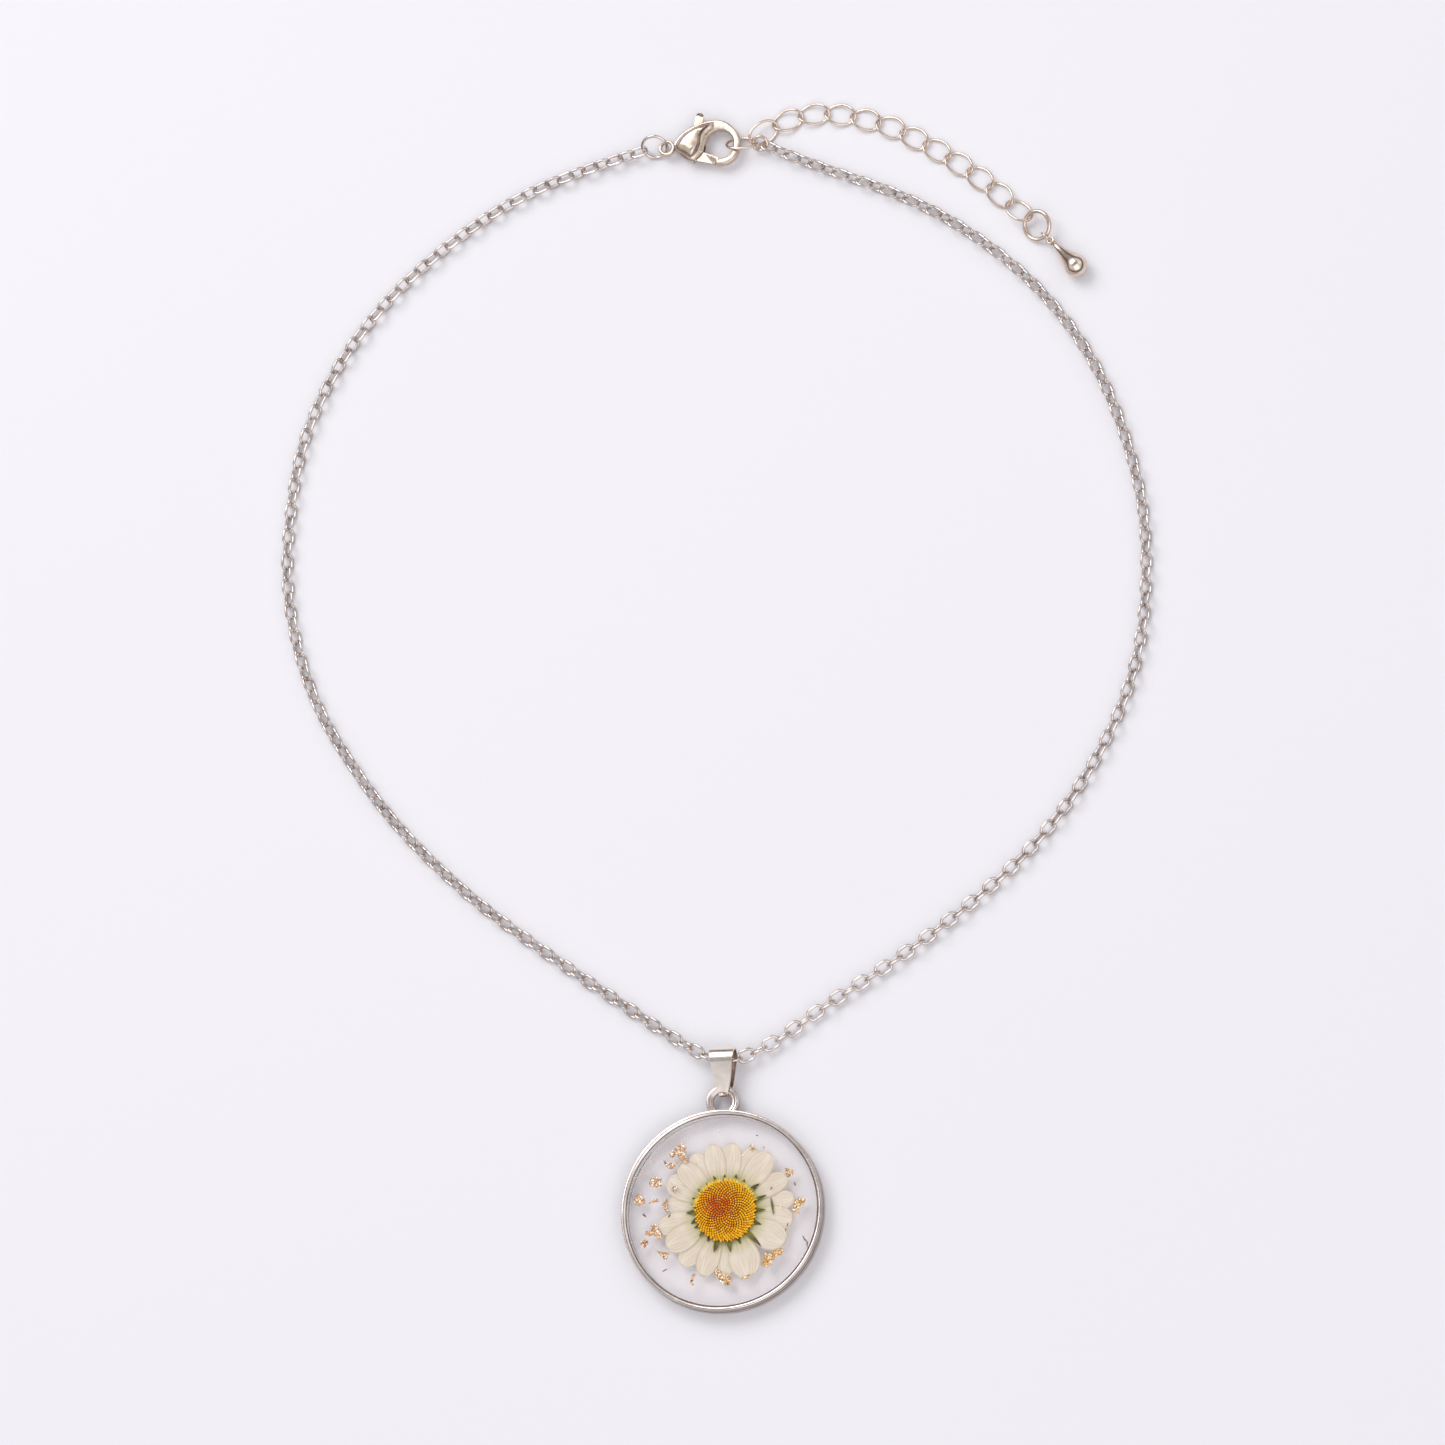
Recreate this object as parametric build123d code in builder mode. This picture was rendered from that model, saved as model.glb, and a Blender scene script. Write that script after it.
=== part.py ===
from build123d import *
import math
import os

os.makedirs("parts", exist_ok=True)

# A flower pendant on a cable chain, lying on a flat surface. Millimetres, +Z up.
# The origin is the centre of the pendant's flat back, +Y points from the pendant to the clasp.

# Shared clearances
piece_gap = 0.03
wire_gap = 0.11
running_gap = 0.05

# Pendant rim
bezel_r = 15.0
bezel_height = 2.7
bezel_wall = 0.75
bezel_lip = 0.45
bezel_bevel = 0.35
bezel_groove = 0.1
bezel_edge = 0.08

# Hanging loop, soldered to the rim
loop_outer_d = 4.95
loop_band = 1.05
loop_thick = 1.3
loop_bead = 0.62
loop_step = 0.22
loop_solder = 0.05

# Resin, poured in two layers with the flower's space between them
resin_back_h = 1.1
resin_rise = 0.55
resin_rim_wall = 0.4

# Pressed flower, sized from the rim
flower_x = 0.036 * bezel_r
flower_y = -0.0067 * bezel_r
flower_r = 0.6933 * bezel_r
petal_root_r = 0.327 * flower_r
petal_thick = 0.05
disc_r = 0.4538 * flower_r
disc_rise = 0.7
disc_edge = 0.08
bract_thick = 0.04
flake_thick = 0.05

# Bail, a strap folded over the chain and pinched round the loop
bail_x = 0.2
bail_strap = 0.42
bail_width = 3.8
bail_top_r = 2.0
bail_reach = 4.22
bail_eye_rise = 0.24
bail_lift_length = 12.0

# Cable chain
link_wire = 0.45
link_width = 2.2
link_pitch_wanted = 2.0

# Lobster clasp
clasp_length = 12.7
clasp_plate = 1.2
clasp_body_h = 2.8
clasp_round = 0.28
clasp_eye_h = 0.8
clasp_eye_d = 0.2 * clasp_length
clasp_eye_hole_r = 0.78
clasp_eye_round = 0.41 * (clasp_eye_d / 2 - clasp_eye_hole_r)
lever_thick = 0.7
lever_slot_gap = 0.08
lever_hub_r = 1.0
lever_open = 22
thumb_width = 1.2
pin_r = 0.3
pin_length = 1.9

# Rings between the chain's ends and the fastening
jump_wire = 0.5
jump_outer_d = 4.3
jump_roll = 50
small_wire = 0.45
small_outer_d = 2.65
small_roll = 33
small_lean_angle = -9.5

# Extender of twisted oval links
curb_wire = 0.4
curb_width = 3.5
curb_gap = 0.21
curb_pitch_wanted = 4.06
curb_roll = 23
catch_roll = -42
catch_slope = -4.6
last_slope = 9.6

# Rings and drop at the extender's free end
end_wire = 0.66
end_outer_d = 4.95
end_roll = 28
end_lean_angle = -50
end_lift = 0.05
drop_wire = 0.34
drop_ring_outer_d = 2.1
drop_ring_roll = 99
drop_ring_angle = -44
drop_hold_angle = -54
drop_eye_turn = -1
drop_length = 7.2
drop_r = 1.75
drop_angle = -49

# Where the clasp's eye, the catch link and the rest lie, from the point where the chain
# passes through the bail
clasp_dx = -8.85
clasp_dy = 142.4
catch_share = 0.913
chain_start_angle = -162
first_link_angle = 34
small_ring_angle = -14
chain_end_angle = -20

# The chosen points of both chains, seen from above, from the same point in the bail:
# x, y and the roll in degrees of the first of each pair of links
chain_route = [
    (-19.7, 140.4, 22),
    (-29.8, 137.0, 24),
    (-39.3, 131.8, 27),
    (-47.8, 125.3, 30),
    (-55.3, 117.6, 32),
    (-61.3, 108.6, 33),
    (-65.4, 98.6, 36),
    (-67.2, 87.9, 42),
    (-67.5, 77.2, 46),
    (-65.7, 66.6, 42),
    (-62.1, 56.6, 40),
    (-56.9, 47.7, 42),
    (-51.1, 39.6, 44),
    (-44.6, 32.4, 44),
    (-37.7, 25.9, 42),
    (-30.3, 20.0, 38),
    (-22.5, 14.2, 34),
    (-14.1, 8.2, 32),
    (-4.7, 1.75, 30),
    (0.0, -0.25, 28),
    (4.6, 0.85, 25),
    (14.1, 6.8, 25),
    (22.4, 11.9, 28),
    (30.1, 17.0, 30),
    (37.4, 22.4, 34),
    (44.3, 28.3, 40),
    (50.5, 35.2, 44),
    (55.8, 43.1, 46),
    (60.1, 51.9, 44),
    (62.8, 61.6, 40),
    (63.7, 71.6, 42),
    (63.2, 81.7, 44),
    (61.0, 91.7, 42),
    (57.5, 101.5, 38),
    (52.4, 110.6, 34),
    (45.7, 118.8, 32),
    (37.6, 125.9, 30),
    (28.4, 131.8, 28),
    (18.8, 136.2, 27),
]
extender_route = [
    (9.73, 145.87),
    (13.59, 146.56),
    (17.6, 146.28),
    (21.62, 145.21),
    (25.55, 143.72),
    (29.16, 141.73),
    (32.7, 139.5),
    (36.03, 137.12),
    (39.25, 134.56),
    (42.25, 131.76),
    (45.19, 128.89),
]

# Petals: direction in degrees, reach and half width as shares of the flower's radius,
# the layer they lie in, and a sideways lean of the tip as a share of the half width
petal_table = [
    (102.0, 1.00, 0.150, 3, 0.00),
    (83.7, 0.99, 0.155, 2, 0.10),
    (66.0, 0.99, 0.165, 1, -0.10),
    (51.0, 1.03, 0.185, 4, 0.10),
    (30.0, 1.00, 0.150, 3, -0.15),
    (8.5, 1.00, 0.150, 1, 0.10),
    (-11.0, 0.97, 0.180, 2, 0.15),
    (-31.0, 0.97, 0.215, 4, 0.10),
    (-67.0, 1.00, 0.230, 3, -0.20),
    (-92.0, 0.92, 0.160, 0, 0.00),
    (-112.0, 0.97, 0.165, 2, 0.10),
    (-130.0, 0.98, 0.165, 1, -0.10),
    (-152.0, 0.98, 0.190, 3, 0.10),
    (-170.0, 1.00, 0.165, 2, 0.10),
    (170.0, 0.87, 0.150, 0, 0.00),
    (148.0, 0.98, 0.185, 1, 0.10),
    (133.0, 0.97, 0.165, 2, 0.00),
    (118.0, 0.98, 0.155, 0, 0.10),
]

# Bract tips: direction in degrees and reach as a share of the disc's radius
bract_tips = [
    (-166, 1.11), (-153, 1.06), (-138, 1.08), (-123, 1.06), (-106, 1.28), (-84, 1.25),
    (-66, 1.09), (-45, 1.54), (-23, 1.17), (-1, 1.20), (19, 1.31), (39, 1.29),
    (58, 1.10), (72, 1.16), (93, 1.12), (107, 1.15), (123, 1.06), (141, 1.10),
    (156, 1.11), (168, 1.08), (179, 1.20),
]
bract_half_angle = 5.2
bract_root_share = 0.94

# Outlines of the foil flakes as shares of the resin's radius
flake_outlines = [
    [(-0.481, 0.715), (-0.424, 0.727), (-0.372, 0.688), (-0.378, 0.642), (-0.396, 0.600),
     (-0.355, 0.533), (-0.406, 0.524), (-0.455, 0.560), (-0.469, 0.612), (-0.520, 0.580),
     (-0.560, 0.587), (-0.549, 0.650), (-0.486, 0.676)],
    [(-0.634, 0.562), (-0.606, 0.550), (-0.566, 0.525), (-0.497, 0.528), (-0.462, 0.534),
     (-0.475, 0.498), (-0.509, 0.466), (-0.560, 0.462), (-0.594, 0.503)],
    [(-0.714, 0.400), (-0.674, 0.370), (-0.628, 0.368), (-0.645, 0.334), (-0.634, 0.277),
     (-0.691, 0.274), (-0.771, 0.288), (-0.765, 0.340), (-0.748, 0.373)],
    [(-0.885, 0.219), (-0.851, 0.206), (-0.805, 0.136), (-0.816, 0.108), (-0.862, 0.087),
     (-0.913, 0.101), (-0.930, 0.153)],
    [(-0.520, 0.267), (-0.486, 0.276), (-0.463, 0.258), (-0.497, 0.237), (-0.514, 0.215),
     (-0.533, 0.233)],
    [(-0.776, 0.112), (-0.736, 0.145), (-0.679, 0.154), (-0.656, 0.124), (-0.713, 0.115),
     (-0.765, 0.103)],
    [(-0.577, 0.161), (-0.571, 0.138), (-0.594, 0.087), (-0.559, 0.012), (-0.582, 0.002),
     (-0.628, 0.060), (-0.633, 0.089), (-0.605, 0.128)],
    [(-0.747, -0.111), (-0.713, -0.101), (-0.673, -0.148), (-0.633, -0.212), (-0.633, -0.269),
     (-0.690, -0.261), (-0.724, -0.220), (-0.770, -0.241), (-0.809, -0.216), (-0.804, -0.182),
     (-0.747, -0.179)],
    [(-0.855, -0.294), (-0.809, -0.262), (-0.775, -0.286), (-0.781, -0.325), (-0.843, -0.374),
     (-0.860, -0.339)],
    [(-0.701, -0.374), (-0.672, -0.392), (-0.547, -0.420), (-0.575, -0.470), (-0.587, -0.520),
     (-0.632, -0.451), (-0.689, -0.391)],
    [(-0.302, -0.645), (-0.280, -0.657), (-0.302, -0.713), (-0.291, -0.764), (-0.325, -0.774),
     (-0.336, -0.734), (-0.319, -0.678)],
    [(-0.075, -0.597), (-0.019, -0.628), (0.027, -0.669), (0.083, -0.677), (0.106, -0.729),
     (0.083, -0.773), (0.038, -0.789), (-0.007, -0.747), (-0.064, -0.700), (-0.081, -0.654)],
    [(0.197, -0.699), (0.231, -0.706), (0.287, -0.674), (0.293, -0.697), (0.265, -0.724),
     (0.208, -0.728)],
    [(0.452, -0.449), (0.503, -0.462), (0.582, -0.420), (0.633, -0.422), (0.638, -0.468),
     (0.604, -0.489), (0.559, -0.499), (0.514, -0.587), (0.474, -0.625), (0.412, -0.583),
     (0.435, -0.516)],
    [(0.764, 0.082), (0.815, 0.105), (0.877, 0.089), (0.855, 0.033), (0.809, 0.018),
     (0.792, -0.021), (0.815, -0.067), (0.764, -0.065), (0.741, -0.019), (0.753, 0.026)],
    [(0.657, 0.422), (0.708, 0.408), (0.759, 0.400), (0.742, 0.344), (0.719, 0.328),
     (0.685, 0.312), (0.663, 0.382)],
    [(0.289, 0.676), (0.317, 0.687), (0.343, 0.651), (0.317, 0.618), (0.288, 0.642)],
]
sliver_outline = [
    (0.504, 0.116), (0.517, 0.113), (0.535, 0.035), (0.542, -0.034), (0.535, -0.070),
    (0.524, -0.021), (0.509, 0.059),
]

# Bail seen from the front: distance from the top as a share of its length, and the half
# width as a share of its widest
bail_outline = [
    (0.00, 1.000), (0.24, 0.895), (0.47, 0.780), (0.66, 0.670), (0.80, 0.540), (0.91, 0.395),
    (0.98, 0.270), (1.00, 0.225),
]

# Clasp outlines from the centre of its eye, as shares of its length
clasp_outer = [
    (0.087, 0.043), (0.184, 0.165), (0.316, 0.246), (0.446, 0.293), (0.599, 0.311),
    (0.708, 0.286), (0.806, 0.212), (0.872, 0.128), (0.904, 0.013), (0.887, -0.087),
    (0.850, -0.176), (0.773, -0.238), (0.676, -0.265), (0.605, -0.254),
]
clasp_inner = [
    (0.621, -0.187), (0.697, -0.176), (0.773, -0.142), (0.801, -0.093), (0.817, -0.015),
    (0.812, 0.053), (0.773, 0.118), (0.687, 0.169), (0.599, 0.169), (0.523, 0.118),
    (0.480, 0.031), (0.457, -0.080),
]
clasp_under = [(0.365, -0.179), (0.311, -0.192), (0.224, -0.146), (0.109, -0.048)]
clasp_swell = [
    (0.100, 0.000), (0.190, 0.135), (0.320, 0.222), (0.440, 0.268), (0.545, 0.270),
    (0.462, 0.180), (0.425, 0.043), (0.361, -0.118), (0.300, -0.165), (0.215, -0.115),
]
clasp_pivot = (0.331, 0.0)
thumb_end = (0.404, 0.362)
gate_outline = [
    (0.331, 0.055), (0.450, -0.088), (0.599, -0.152), (0.640, -0.180), (0.640, -0.260),
    (0.566, -0.240), (0.372, -0.190), (0.270, -0.030),
]
gate_tip_share = 0.349
slot_gate = [
    (0.255, 0.000), (0.262, -0.070), (0.350, -0.215), (0.500, -0.260), (0.525, -0.150),
    (0.500, -0.010), (0.386, 0.062),
]

# Drop: distance from its neck and radius, as shares of its length and its widest radius
drop_profile = [
    (0.00, 0.240), (0.15, 0.300), (0.40, 0.560), (0.62, 0.870), (0.78, 1.000),
]
drop_cap_share = 0.95
drop_cap_angle = 45


def turned(x, y, degrees_ccw):
    a = math.radians(degrees_ccw)
    return (x * math.cos(a) - y * math.sin(a), x * math.sin(a) + y * math.cos(a))


def heading(degrees_ccw):
    a = math.radians(degrees_ccw)
    return Vector(math.cos(a), math.sin(a), 0)


# Sizes that follow from the ones above
bezel_in_r = bezel_r - bezel_wall
resin_r = bezel_in_r - piece_gap
resin_edge_h = bezel_height - bezel_bevel - piece_gap
resin_top = resin_edge_h + resin_rise
pocket_r = resin_r - resin_rim_wall
layer_step = petal_thick + piece_gap
layer_count = 1 + max(layer for angle, reach, half, layer, lean in petal_table)
petal_z = resin_back_h + piece_gap
leaf_z = petal_z + layer_count * layer_step
disc_z = leaf_z + max(bract_thick, flake_thick) + piece_gap
pocket_z = disc_z + piece_gap
crown_z = disc_z + disc_edge + disc_rise + piece_gap
crown_r = disc_r + math.hypot(flower_x, flower_y) + 2 * piece_gap
dome_r = (resin_r**2 + resin_rise**2) / (2 * resin_rise)
dome_middle = (resin_r / 2, resin_top - dome_r + math.sqrt(dome_r**2 - resin_r**2 / 4))

loop_hole_r = loop_outer_d / 2 - loop_band
loop_y = bezel_r + loop_hole_r - loop_solder
loop_z = bezel_height / 2

bail_low_r = 0.95 * math.hypot(loop_band / 2, loop_thick / 2) + wire_gap + bail_strap
bail_low_y = loop_y + loop_outer_d / 2 - loop_band / 2
bail_top_y = bail_low_y + bail_reach
bail_eye_y = bail_top_y + bail_eye_rise
bail_eye_z = bail_top_r - piece_gap

# Pendant rim with its loop, one soldered piece
with BuildPart() as bezel_frame:
    with BuildSketch(Plane(origin=(0, loop_y, loop_z), x_dir=(1, 0, 0), z_dir=(0, -1, 0))):
        with Locations(((loop_outer_d - loop_bead) / 2, 0)):
            RectangleRounded(loop_bead, loop_thick, 0.45 * loop_bead)
        with Locations(((loop_hole_r + loop_outer_d / 2) / 2 - loop_bead / 4, 0)):
            RectangleRounded(loop_band - loop_bead / 2, loop_thick - 2 * loop_step, loop_step)
    revolve(axis=Axis((0, loop_y, 0), (0, 0, 1)))
    Cylinder(
        radius=bezel_r - bezel_wall / 2,
        height=2 * bezel_height,
        mode=Mode.SUBTRACT,
    )
    with BuildSketch(Plane.XZ):
        with BuildLine():
            Polyline(
                (bezel_in_r, 0),
                (bezel_r - bezel_edge, 0),
                (bezel_r, bezel_edge),
                (bezel_r, 0.38 * bezel_height),
                (bezel_r - bezel_groove, 0.42 * bezel_height),
                (bezel_r - bezel_groove, 0.53 * bezel_height),
                (bezel_r, 0.57 * bezel_height),
                (bezel_r, bezel_height - bezel_edge),
                (bezel_r - bezel_edge, bezel_height),
                (bezel_r - bezel_lip, bezel_height),
                (bezel_in_r, bezel_height - bezel_bevel),
                close=True,
            )
        make_face()
    revolve(axis=Axis.Z)
bezel_frame.part.label = "bezel_frame"
export_step(bezel_frame.part, "parts/bezel_frame.step")

# First pour, flush with the rim's back
with BuildPart() as resin_back:
    with BuildSketch(Plane.XY):
        Circle(resin_r)
    extrude(amount=resin_back_h)
resin_back.part.label = "resin_back"
export_step(resin_back.part, "parts/resin_back.step")

# Second pour, a low dome with the flower's space in its underside
with BuildPart() as resin_front:
    with BuildSketch(Plane.XZ):
        with BuildLine():
            Line((0, crown_z), (crown_r, crown_z))
            Line((crown_r, crown_z), (crown_r, pocket_z))
            Line((crown_r, pocket_z), (pocket_r, pocket_z))
            Line((pocket_r, pocket_z), (pocket_r, resin_back_h + piece_gap))
            Line((pocket_r, resin_back_h + piece_gap), (resin_r, resin_back_h + piece_gap))
            Line((resin_r, resin_back_h + piece_gap), (resin_r, resin_edge_h))
            ThreePointArc((resin_r, resin_edge_h), dome_middle, (0, resin_top))
            Line((0, resin_top), (0, crown_z))
        make_face()
    revolve(axis=Axis.Z)
resin_front.part.label = "resin_front"
export_step(resin_front.part, "parts/resin_front.step")

# Petals, each in its own layer so that they overlap without touching
for number, (angle, reach, half_share, layer, lean) in enumerate(petal_table, 1):
    tip = reach * flower_r
    half = half_share * flower_r
    side = lean * half
    petal_plane = Plane(
        origin=(flower_x, flower_y, petal_z + layer * layer_step),
        x_dir=heading(angle),
        z_dir=(0, 0, 1),
    )
    with BuildPart() as petal:
        with BuildSketch(petal_plane):
            with BuildLine():
                Spline(
                    (petal_root_r, -0.36 * half),
                    (0.55 * tip, -0.82 * half + 0.3 * side),
                    (0.78 * tip, -half + 0.7 * side),
                    (0.94 * tip, -0.66 * half + side),
                    (tip, side),
                    (0.94 * tip, 0.66 * half + side),
                    (0.78 * tip, half + 0.7 * side),
                    (0.55 * tip, 0.82 * half + 0.3 * side),
                    (petal_root_r, 0.36 * half),
                )
                Line((petal_root_r, 0.36 * half), (petal_root_r, -0.36 * half))
            make_face()
        extrude(amount=petal_thick)
    petal.part.label = f"petal_{number:02d}"
    export_step(petal.part, f"parts/petal_{number:02d}.step")

# Bracts, one pointed green collar under the disc's edge
bract_points = []
for angle, reach in bract_tips:
    sides = ((-bract_half_angle, bract_root_share), (0, reach), (bract_half_angle, bract_root_share))
    for turn, share in sides:
        spot = heading(angle + turn) * disc_r * share
        bract_points.append((spot.X, spot.Y))
with BuildPart() as flower_bracts:
    with BuildSketch(Plane(origin=(flower_x, flower_y, leaf_z))):
        Polygon(*bract_points, align=None)
        Circle(0.8 * disc_r, mode=Mode.SUBTRACT)
    extrude(amount=bract_thick)
flower_bracts.part.label = "flower_bracts"
export_step(flower_bracts.part, "parts/flower_bracts.step")

# Disc of florets, a low dome with a slightly sunken middle
with BuildPart() as flower_disc:
    with BuildSketch(Plane(origin=(flower_x, flower_y, disc_z), x_dir=(1, 0, 0), z_dir=(0, -1, 0))):
        with BuildLine():
            Line((0, 0), (disc_r, 0))
            Line((disc_r, 0), (disc_r, disc_edge))
            Spline(
                (disc_r, disc_edge),
                (0.80 * disc_r, disc_edge + 0.70 * disc_rise),
                (0.42 * disc_r, disc_edge + 0.98 * disc_rise),
                (0, disc_edge + 0.88 * disc_rise),
                tangents=[(-0.3, 1), (-1, 0)],
            )
            Line((0, disc_edge + 0.88 * disc_rise), (0, 0))
        make_face()
    revolve(axis=Axis((flower_x, flower_y, 0), (0, 0, 1)))
flower_disc.part.label = "flower_disc"
export_step(flower_disc.part, "parts/flower_disc.step")

# Gold foil flakes, loose from each other
with BuildPart() as gold_flakes:
    for outline in flake_outlines:
        with BuildSketch(Plane.XY.offset(leaf_z)):
            Polygon(*[(resin_r * x, resin_r * y) for x, y in outline], align=None)
        extrude(amount=flake_thick)
gold_flakes.part.label = "gold_flakes"
export_step(gold_flakes.part, "parts/gold_flakes.step")

# Green sliver lying on the right-hand petals
with BuildPart() as leaf_sliver:
    with BuildSketch(Plane.XY.offset(leaf_z)):
        Polygon(*[(resin_r * x, resin_r * y) for x, y in sliver_outline], align=None)
    extrude(amount=flake_thick)
leaf_sliver.part.label = "leaf_sliver"
export_step(leaf_sliver.part, "parts/leaf_sliver.step")

# Bail: the folded strap's side view, cut to its tapered front view
bail_head = bail_top_y + bail_top_r
bail_span = bail_head - (bail_low_y - bail_low_r)
with BuildPart() as bail:
    with BuildSketch(Plane(origin=(bail_x, 0, 0), x_dir=(0, 1, 0), z_dir=(1, 0, 0))):
        with Locations((bail_top_y, bail_top_r)):
            Circle(bail_top_r)
        with Locations((bail_low_y, bail_low_r)):
            Circle(bail_low_r)
        make_hull()
        offset(amount=-bail_strap, mode=Mode.SUBTRACT)
    extrude(amount=0.5 * bail_width + bail_strap, both=True)
    with BuildSketch(Plane.XY.offset(-bail_strap)):
        with BuildLine():
            right = [(bail_x + 0.5 * bail_width * w, bail_head - bail_span * s) for s, w in bail_outline]
            left = [(bail_x - 0.5 * bail_width * w, bail_head - bail_span * s) for s, w in bail_outline]
            Line((left[0][0], bail_head + bail_strap), (right[0][0], bail_head + bail_strap))
            Line((right[0][0], bail_head + bail_strap), right[0])
            Spline(*right)
            Line(right[-1], (right[-1][0], right[-1][1] - bail_strap))
            Line((right[-1][0], right[-1][1] - bail_strap), (left[-1][0], left[-1][1] - bail_strap))
            Line((left[-1][0], left[-1][1] - bail_strap), left[-1])
            Spline(*reversed(left))
            Line(left[0], (left[0][0], bail_head + bail_strap))
        make_face()
    extrude(amount=2 * bail_top_r + 2 * bail_strap, mode=Mode.INTERSECT)
bail.part.label = "bail"
export_step(bail.part, "parts/bail.step")

# Clasp, flat on the surface, its eye to the left and its hook to the right
clasp_x = bail_x + clasp_dx
clasp_y = bail_eye_y + clasp_dy
clasp_z = clasp_body_h / 2
pivot_x = clasp_x + clasp_pivot[0] * clasp_length
pivot_y = clasp_y + clasp_pivot[1] * clasp_length
gate_tip_r = gate_tip_share * clasp_length
clasp_plane = Plane(origin=(clasp_x, clasp_y, clasp_z))


def clasp_points(shares):
    return [(x * clasp_length, y * clasp_length) for x, y in shares]


thumb_dx = (thumb_end[0] - clasp_pivot[0]) * clasp_length
thumb_dy = (thumb_end[1] - clasp_pivot[1]) * clasp_length
thumb_reach = math.hypot(thumb_dx, thumb_dy)
thumb_heading = math.degrees(math.atan2(thumb_dy, thumb_dx))
slot_half = thumb_width / 2 + 2 * running_gap
thumb_slot = [
    turned(0, -slot_half, thumb_heading),
    turned(thumb_reach + thumb_width, -slot_half, thumb_heading),
    turned(thumb_reach + thumb_width, slot_half, thumb_heading + lever_open + 1),
    turned(0, slot_half, thumb_heading + lever_open + 1),
]

with BuildPart() as clasp_body:
    with BuildSketch(clasp_plane.offset(-clasp_plate / 2)):
        with BuildLine():
            outer = clasp_points(clasp_outer)
            inner = clasp_points(clasp_inner)
            under = clasp_points(clasp_under)
            Spline(*outer)
            Line(outer[-1], inner[0])
            Spline(*inner)
            Line(inner[-1], under[0])
            Spline(*under)
            Line(under[-1], outer[0])
        make_face()
    extrude(amount=clasp_plate)
    curved_edges = clasp_body.faces().filter_by(Axis.Z).edges().filter_by(GeomType.BSPLINE)
    fillet(curved_edges.sort_by(SortBy.LENGTH)[-4:], radius=clasp_round)
    for height_share, size_share in ((-0.5, 0.50), (-0.34, 0.84), (0, 1.0), (0.34, 0.84), (0.5, 0.50)):
        with BuildSketch(clasp_plane.offset(height_share * clasp_body_h)):
            with BuildLine():
                swell = clasp_points(clasp_swell)
                mid_x = sum(x for x, y in swell) / len(swell)
                mid_y = sum(y for x, y in swell) / len(swell)
                Spline(
                    *[
                        (mid_x + size_share * (x - mid_x), mid_y + size_share * (y - mid_y))
                        for x, y in swell
                    ],
                    periodic=True,
                )
            make_face()
    loft()
    with BuildSketch(clasp_plane.offset(-clasp_body_h / 2)):
        Circle(clasp_eye_d / 2 - clasp_eye_round)
    extrude(amount=clasp_body_h, mode=Mode.SUBTRACT)
    with BuildSketch(Plane(origin=clasp_plane.origin, x_dir=(1, 0, 0), z_dir=(0, -1, 0))):
        with Locations(((clasp_eye_d / 2 + clasp_eye_hole_r) / 2, 0)):
            RectangleRounded(clasp_eye_d / 2 - clasp_eye_hole_r, clasp_eye_h, clasp_eye_round)
    revolve(axis=Axis(clasp_plane.origin, (0, 0, 1)))
    with BuildSketch(clasp_plane.offset(-lever_thick / 2 - lever_slot_gap)):
        with Locations((clasp_pivot[0] * clasp_length, clasp_pivot[1] * clasp_length)):
            Circle(lever_hub_r + 2 * running_gap)
            Polygon(*thumb_slot, align=None)
        Polygon(*clasp_points(slot_gate), align=None)
    extrude(amount=lever_thick + 2 * lever_slot_gap, mode=Mode.SUBTRACT)
    with BuildSketch(clasp_plane.offset(-clasp_plate / 2)):
        with Locations((clasp_pivot[0] * clasp_length, clasp_pivot[1] * clasp_length)):
            Circle(gate_tip_r + wire_gap)
        with Locations((0.62 * clasp_length, -0.25 * clasp_length)):
            Rectangle(0.14 * clasp_length, 0.2 * clasp_length, mode=Mode.INTERSECT)
    extrude(amount=clasp_plate, mode=Mode.SUBTRACT)
    with Locations((pivot_x, pivot_y, clasp_z)):
        Cylinder(radius=pin_r + piece_gap, height=pin_length + 2 * piece_gap, mode=Mode.SUBTRACT)
clasp_body.part.label = "clasp_body"
export_step(clasp_body.part, "parts/clasp_body.step")

# Lever: thumb knob, hub and gate in one flat piece
with BuildPart() as clasp_lever:
    with BuildSketch(clasp_plane.offset(-lever_thick / 2)):
        Polygon(*clasp_points(gate_outline), align=None)
        with Locations((clasp_pivot[0] * clasp_length, clasp_pivot[1] * clasp_length)):
            Circle(gate_tip_r, mode=Mode.INTERSECT)
            Circle(lever_hub_r)
        with Locations(
            (
                clasp_pivot[0] * clasp_length + thumb_dx / 2,
                clasp_pivot[1] * clasp_length + thumb_dy / 2,
            )
        ):
            SlotCenterToCenter(thumb_reach, thumb_width, rotation=thumb_heading)
        with Locations((clasp_pivot[0] * clasp_length, clasp_pivot[1] * clasp_length)):
            Circle(pin_r + running_gap, mode=Mode.SUBTRACT)
    extrude(amount=lever_thick)
clasp_lever.part.label = "clasp_lever"
export_step(clasp_lever.part, "parts/clasp_lever.step")

with BuildPart() as clasp_pin:
    with BuildSketch(clasp_plane.offset(-pin_length / 2)):
        with Locations((clasp_pivot[0] * clasp_length, clasp_pivot[1] * clasp_length)):
            Circle(pin_r)
    extrude(amount=pin_length)
clasp_pin.part.label = "clasp_pin"
export_step(clasp_pin.part, "parts/clasp_pin.step")


def rolled_plane(centre, forward, roll_degrees):
    """A plane whose x axis runs forward, rolled about it from the horizontal."""
    ahead = Vector(*forward).normalized()
    side = Vector(0, 0, 1).cross(ahead).normalized()
    up = ahead.cross(side)
    roll = math.radians(roll_degrees)
    return Plane(origin=centre, x_dir=ahead, z_dir=up * math.cos(roll) - side * math.sin(roll))


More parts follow.
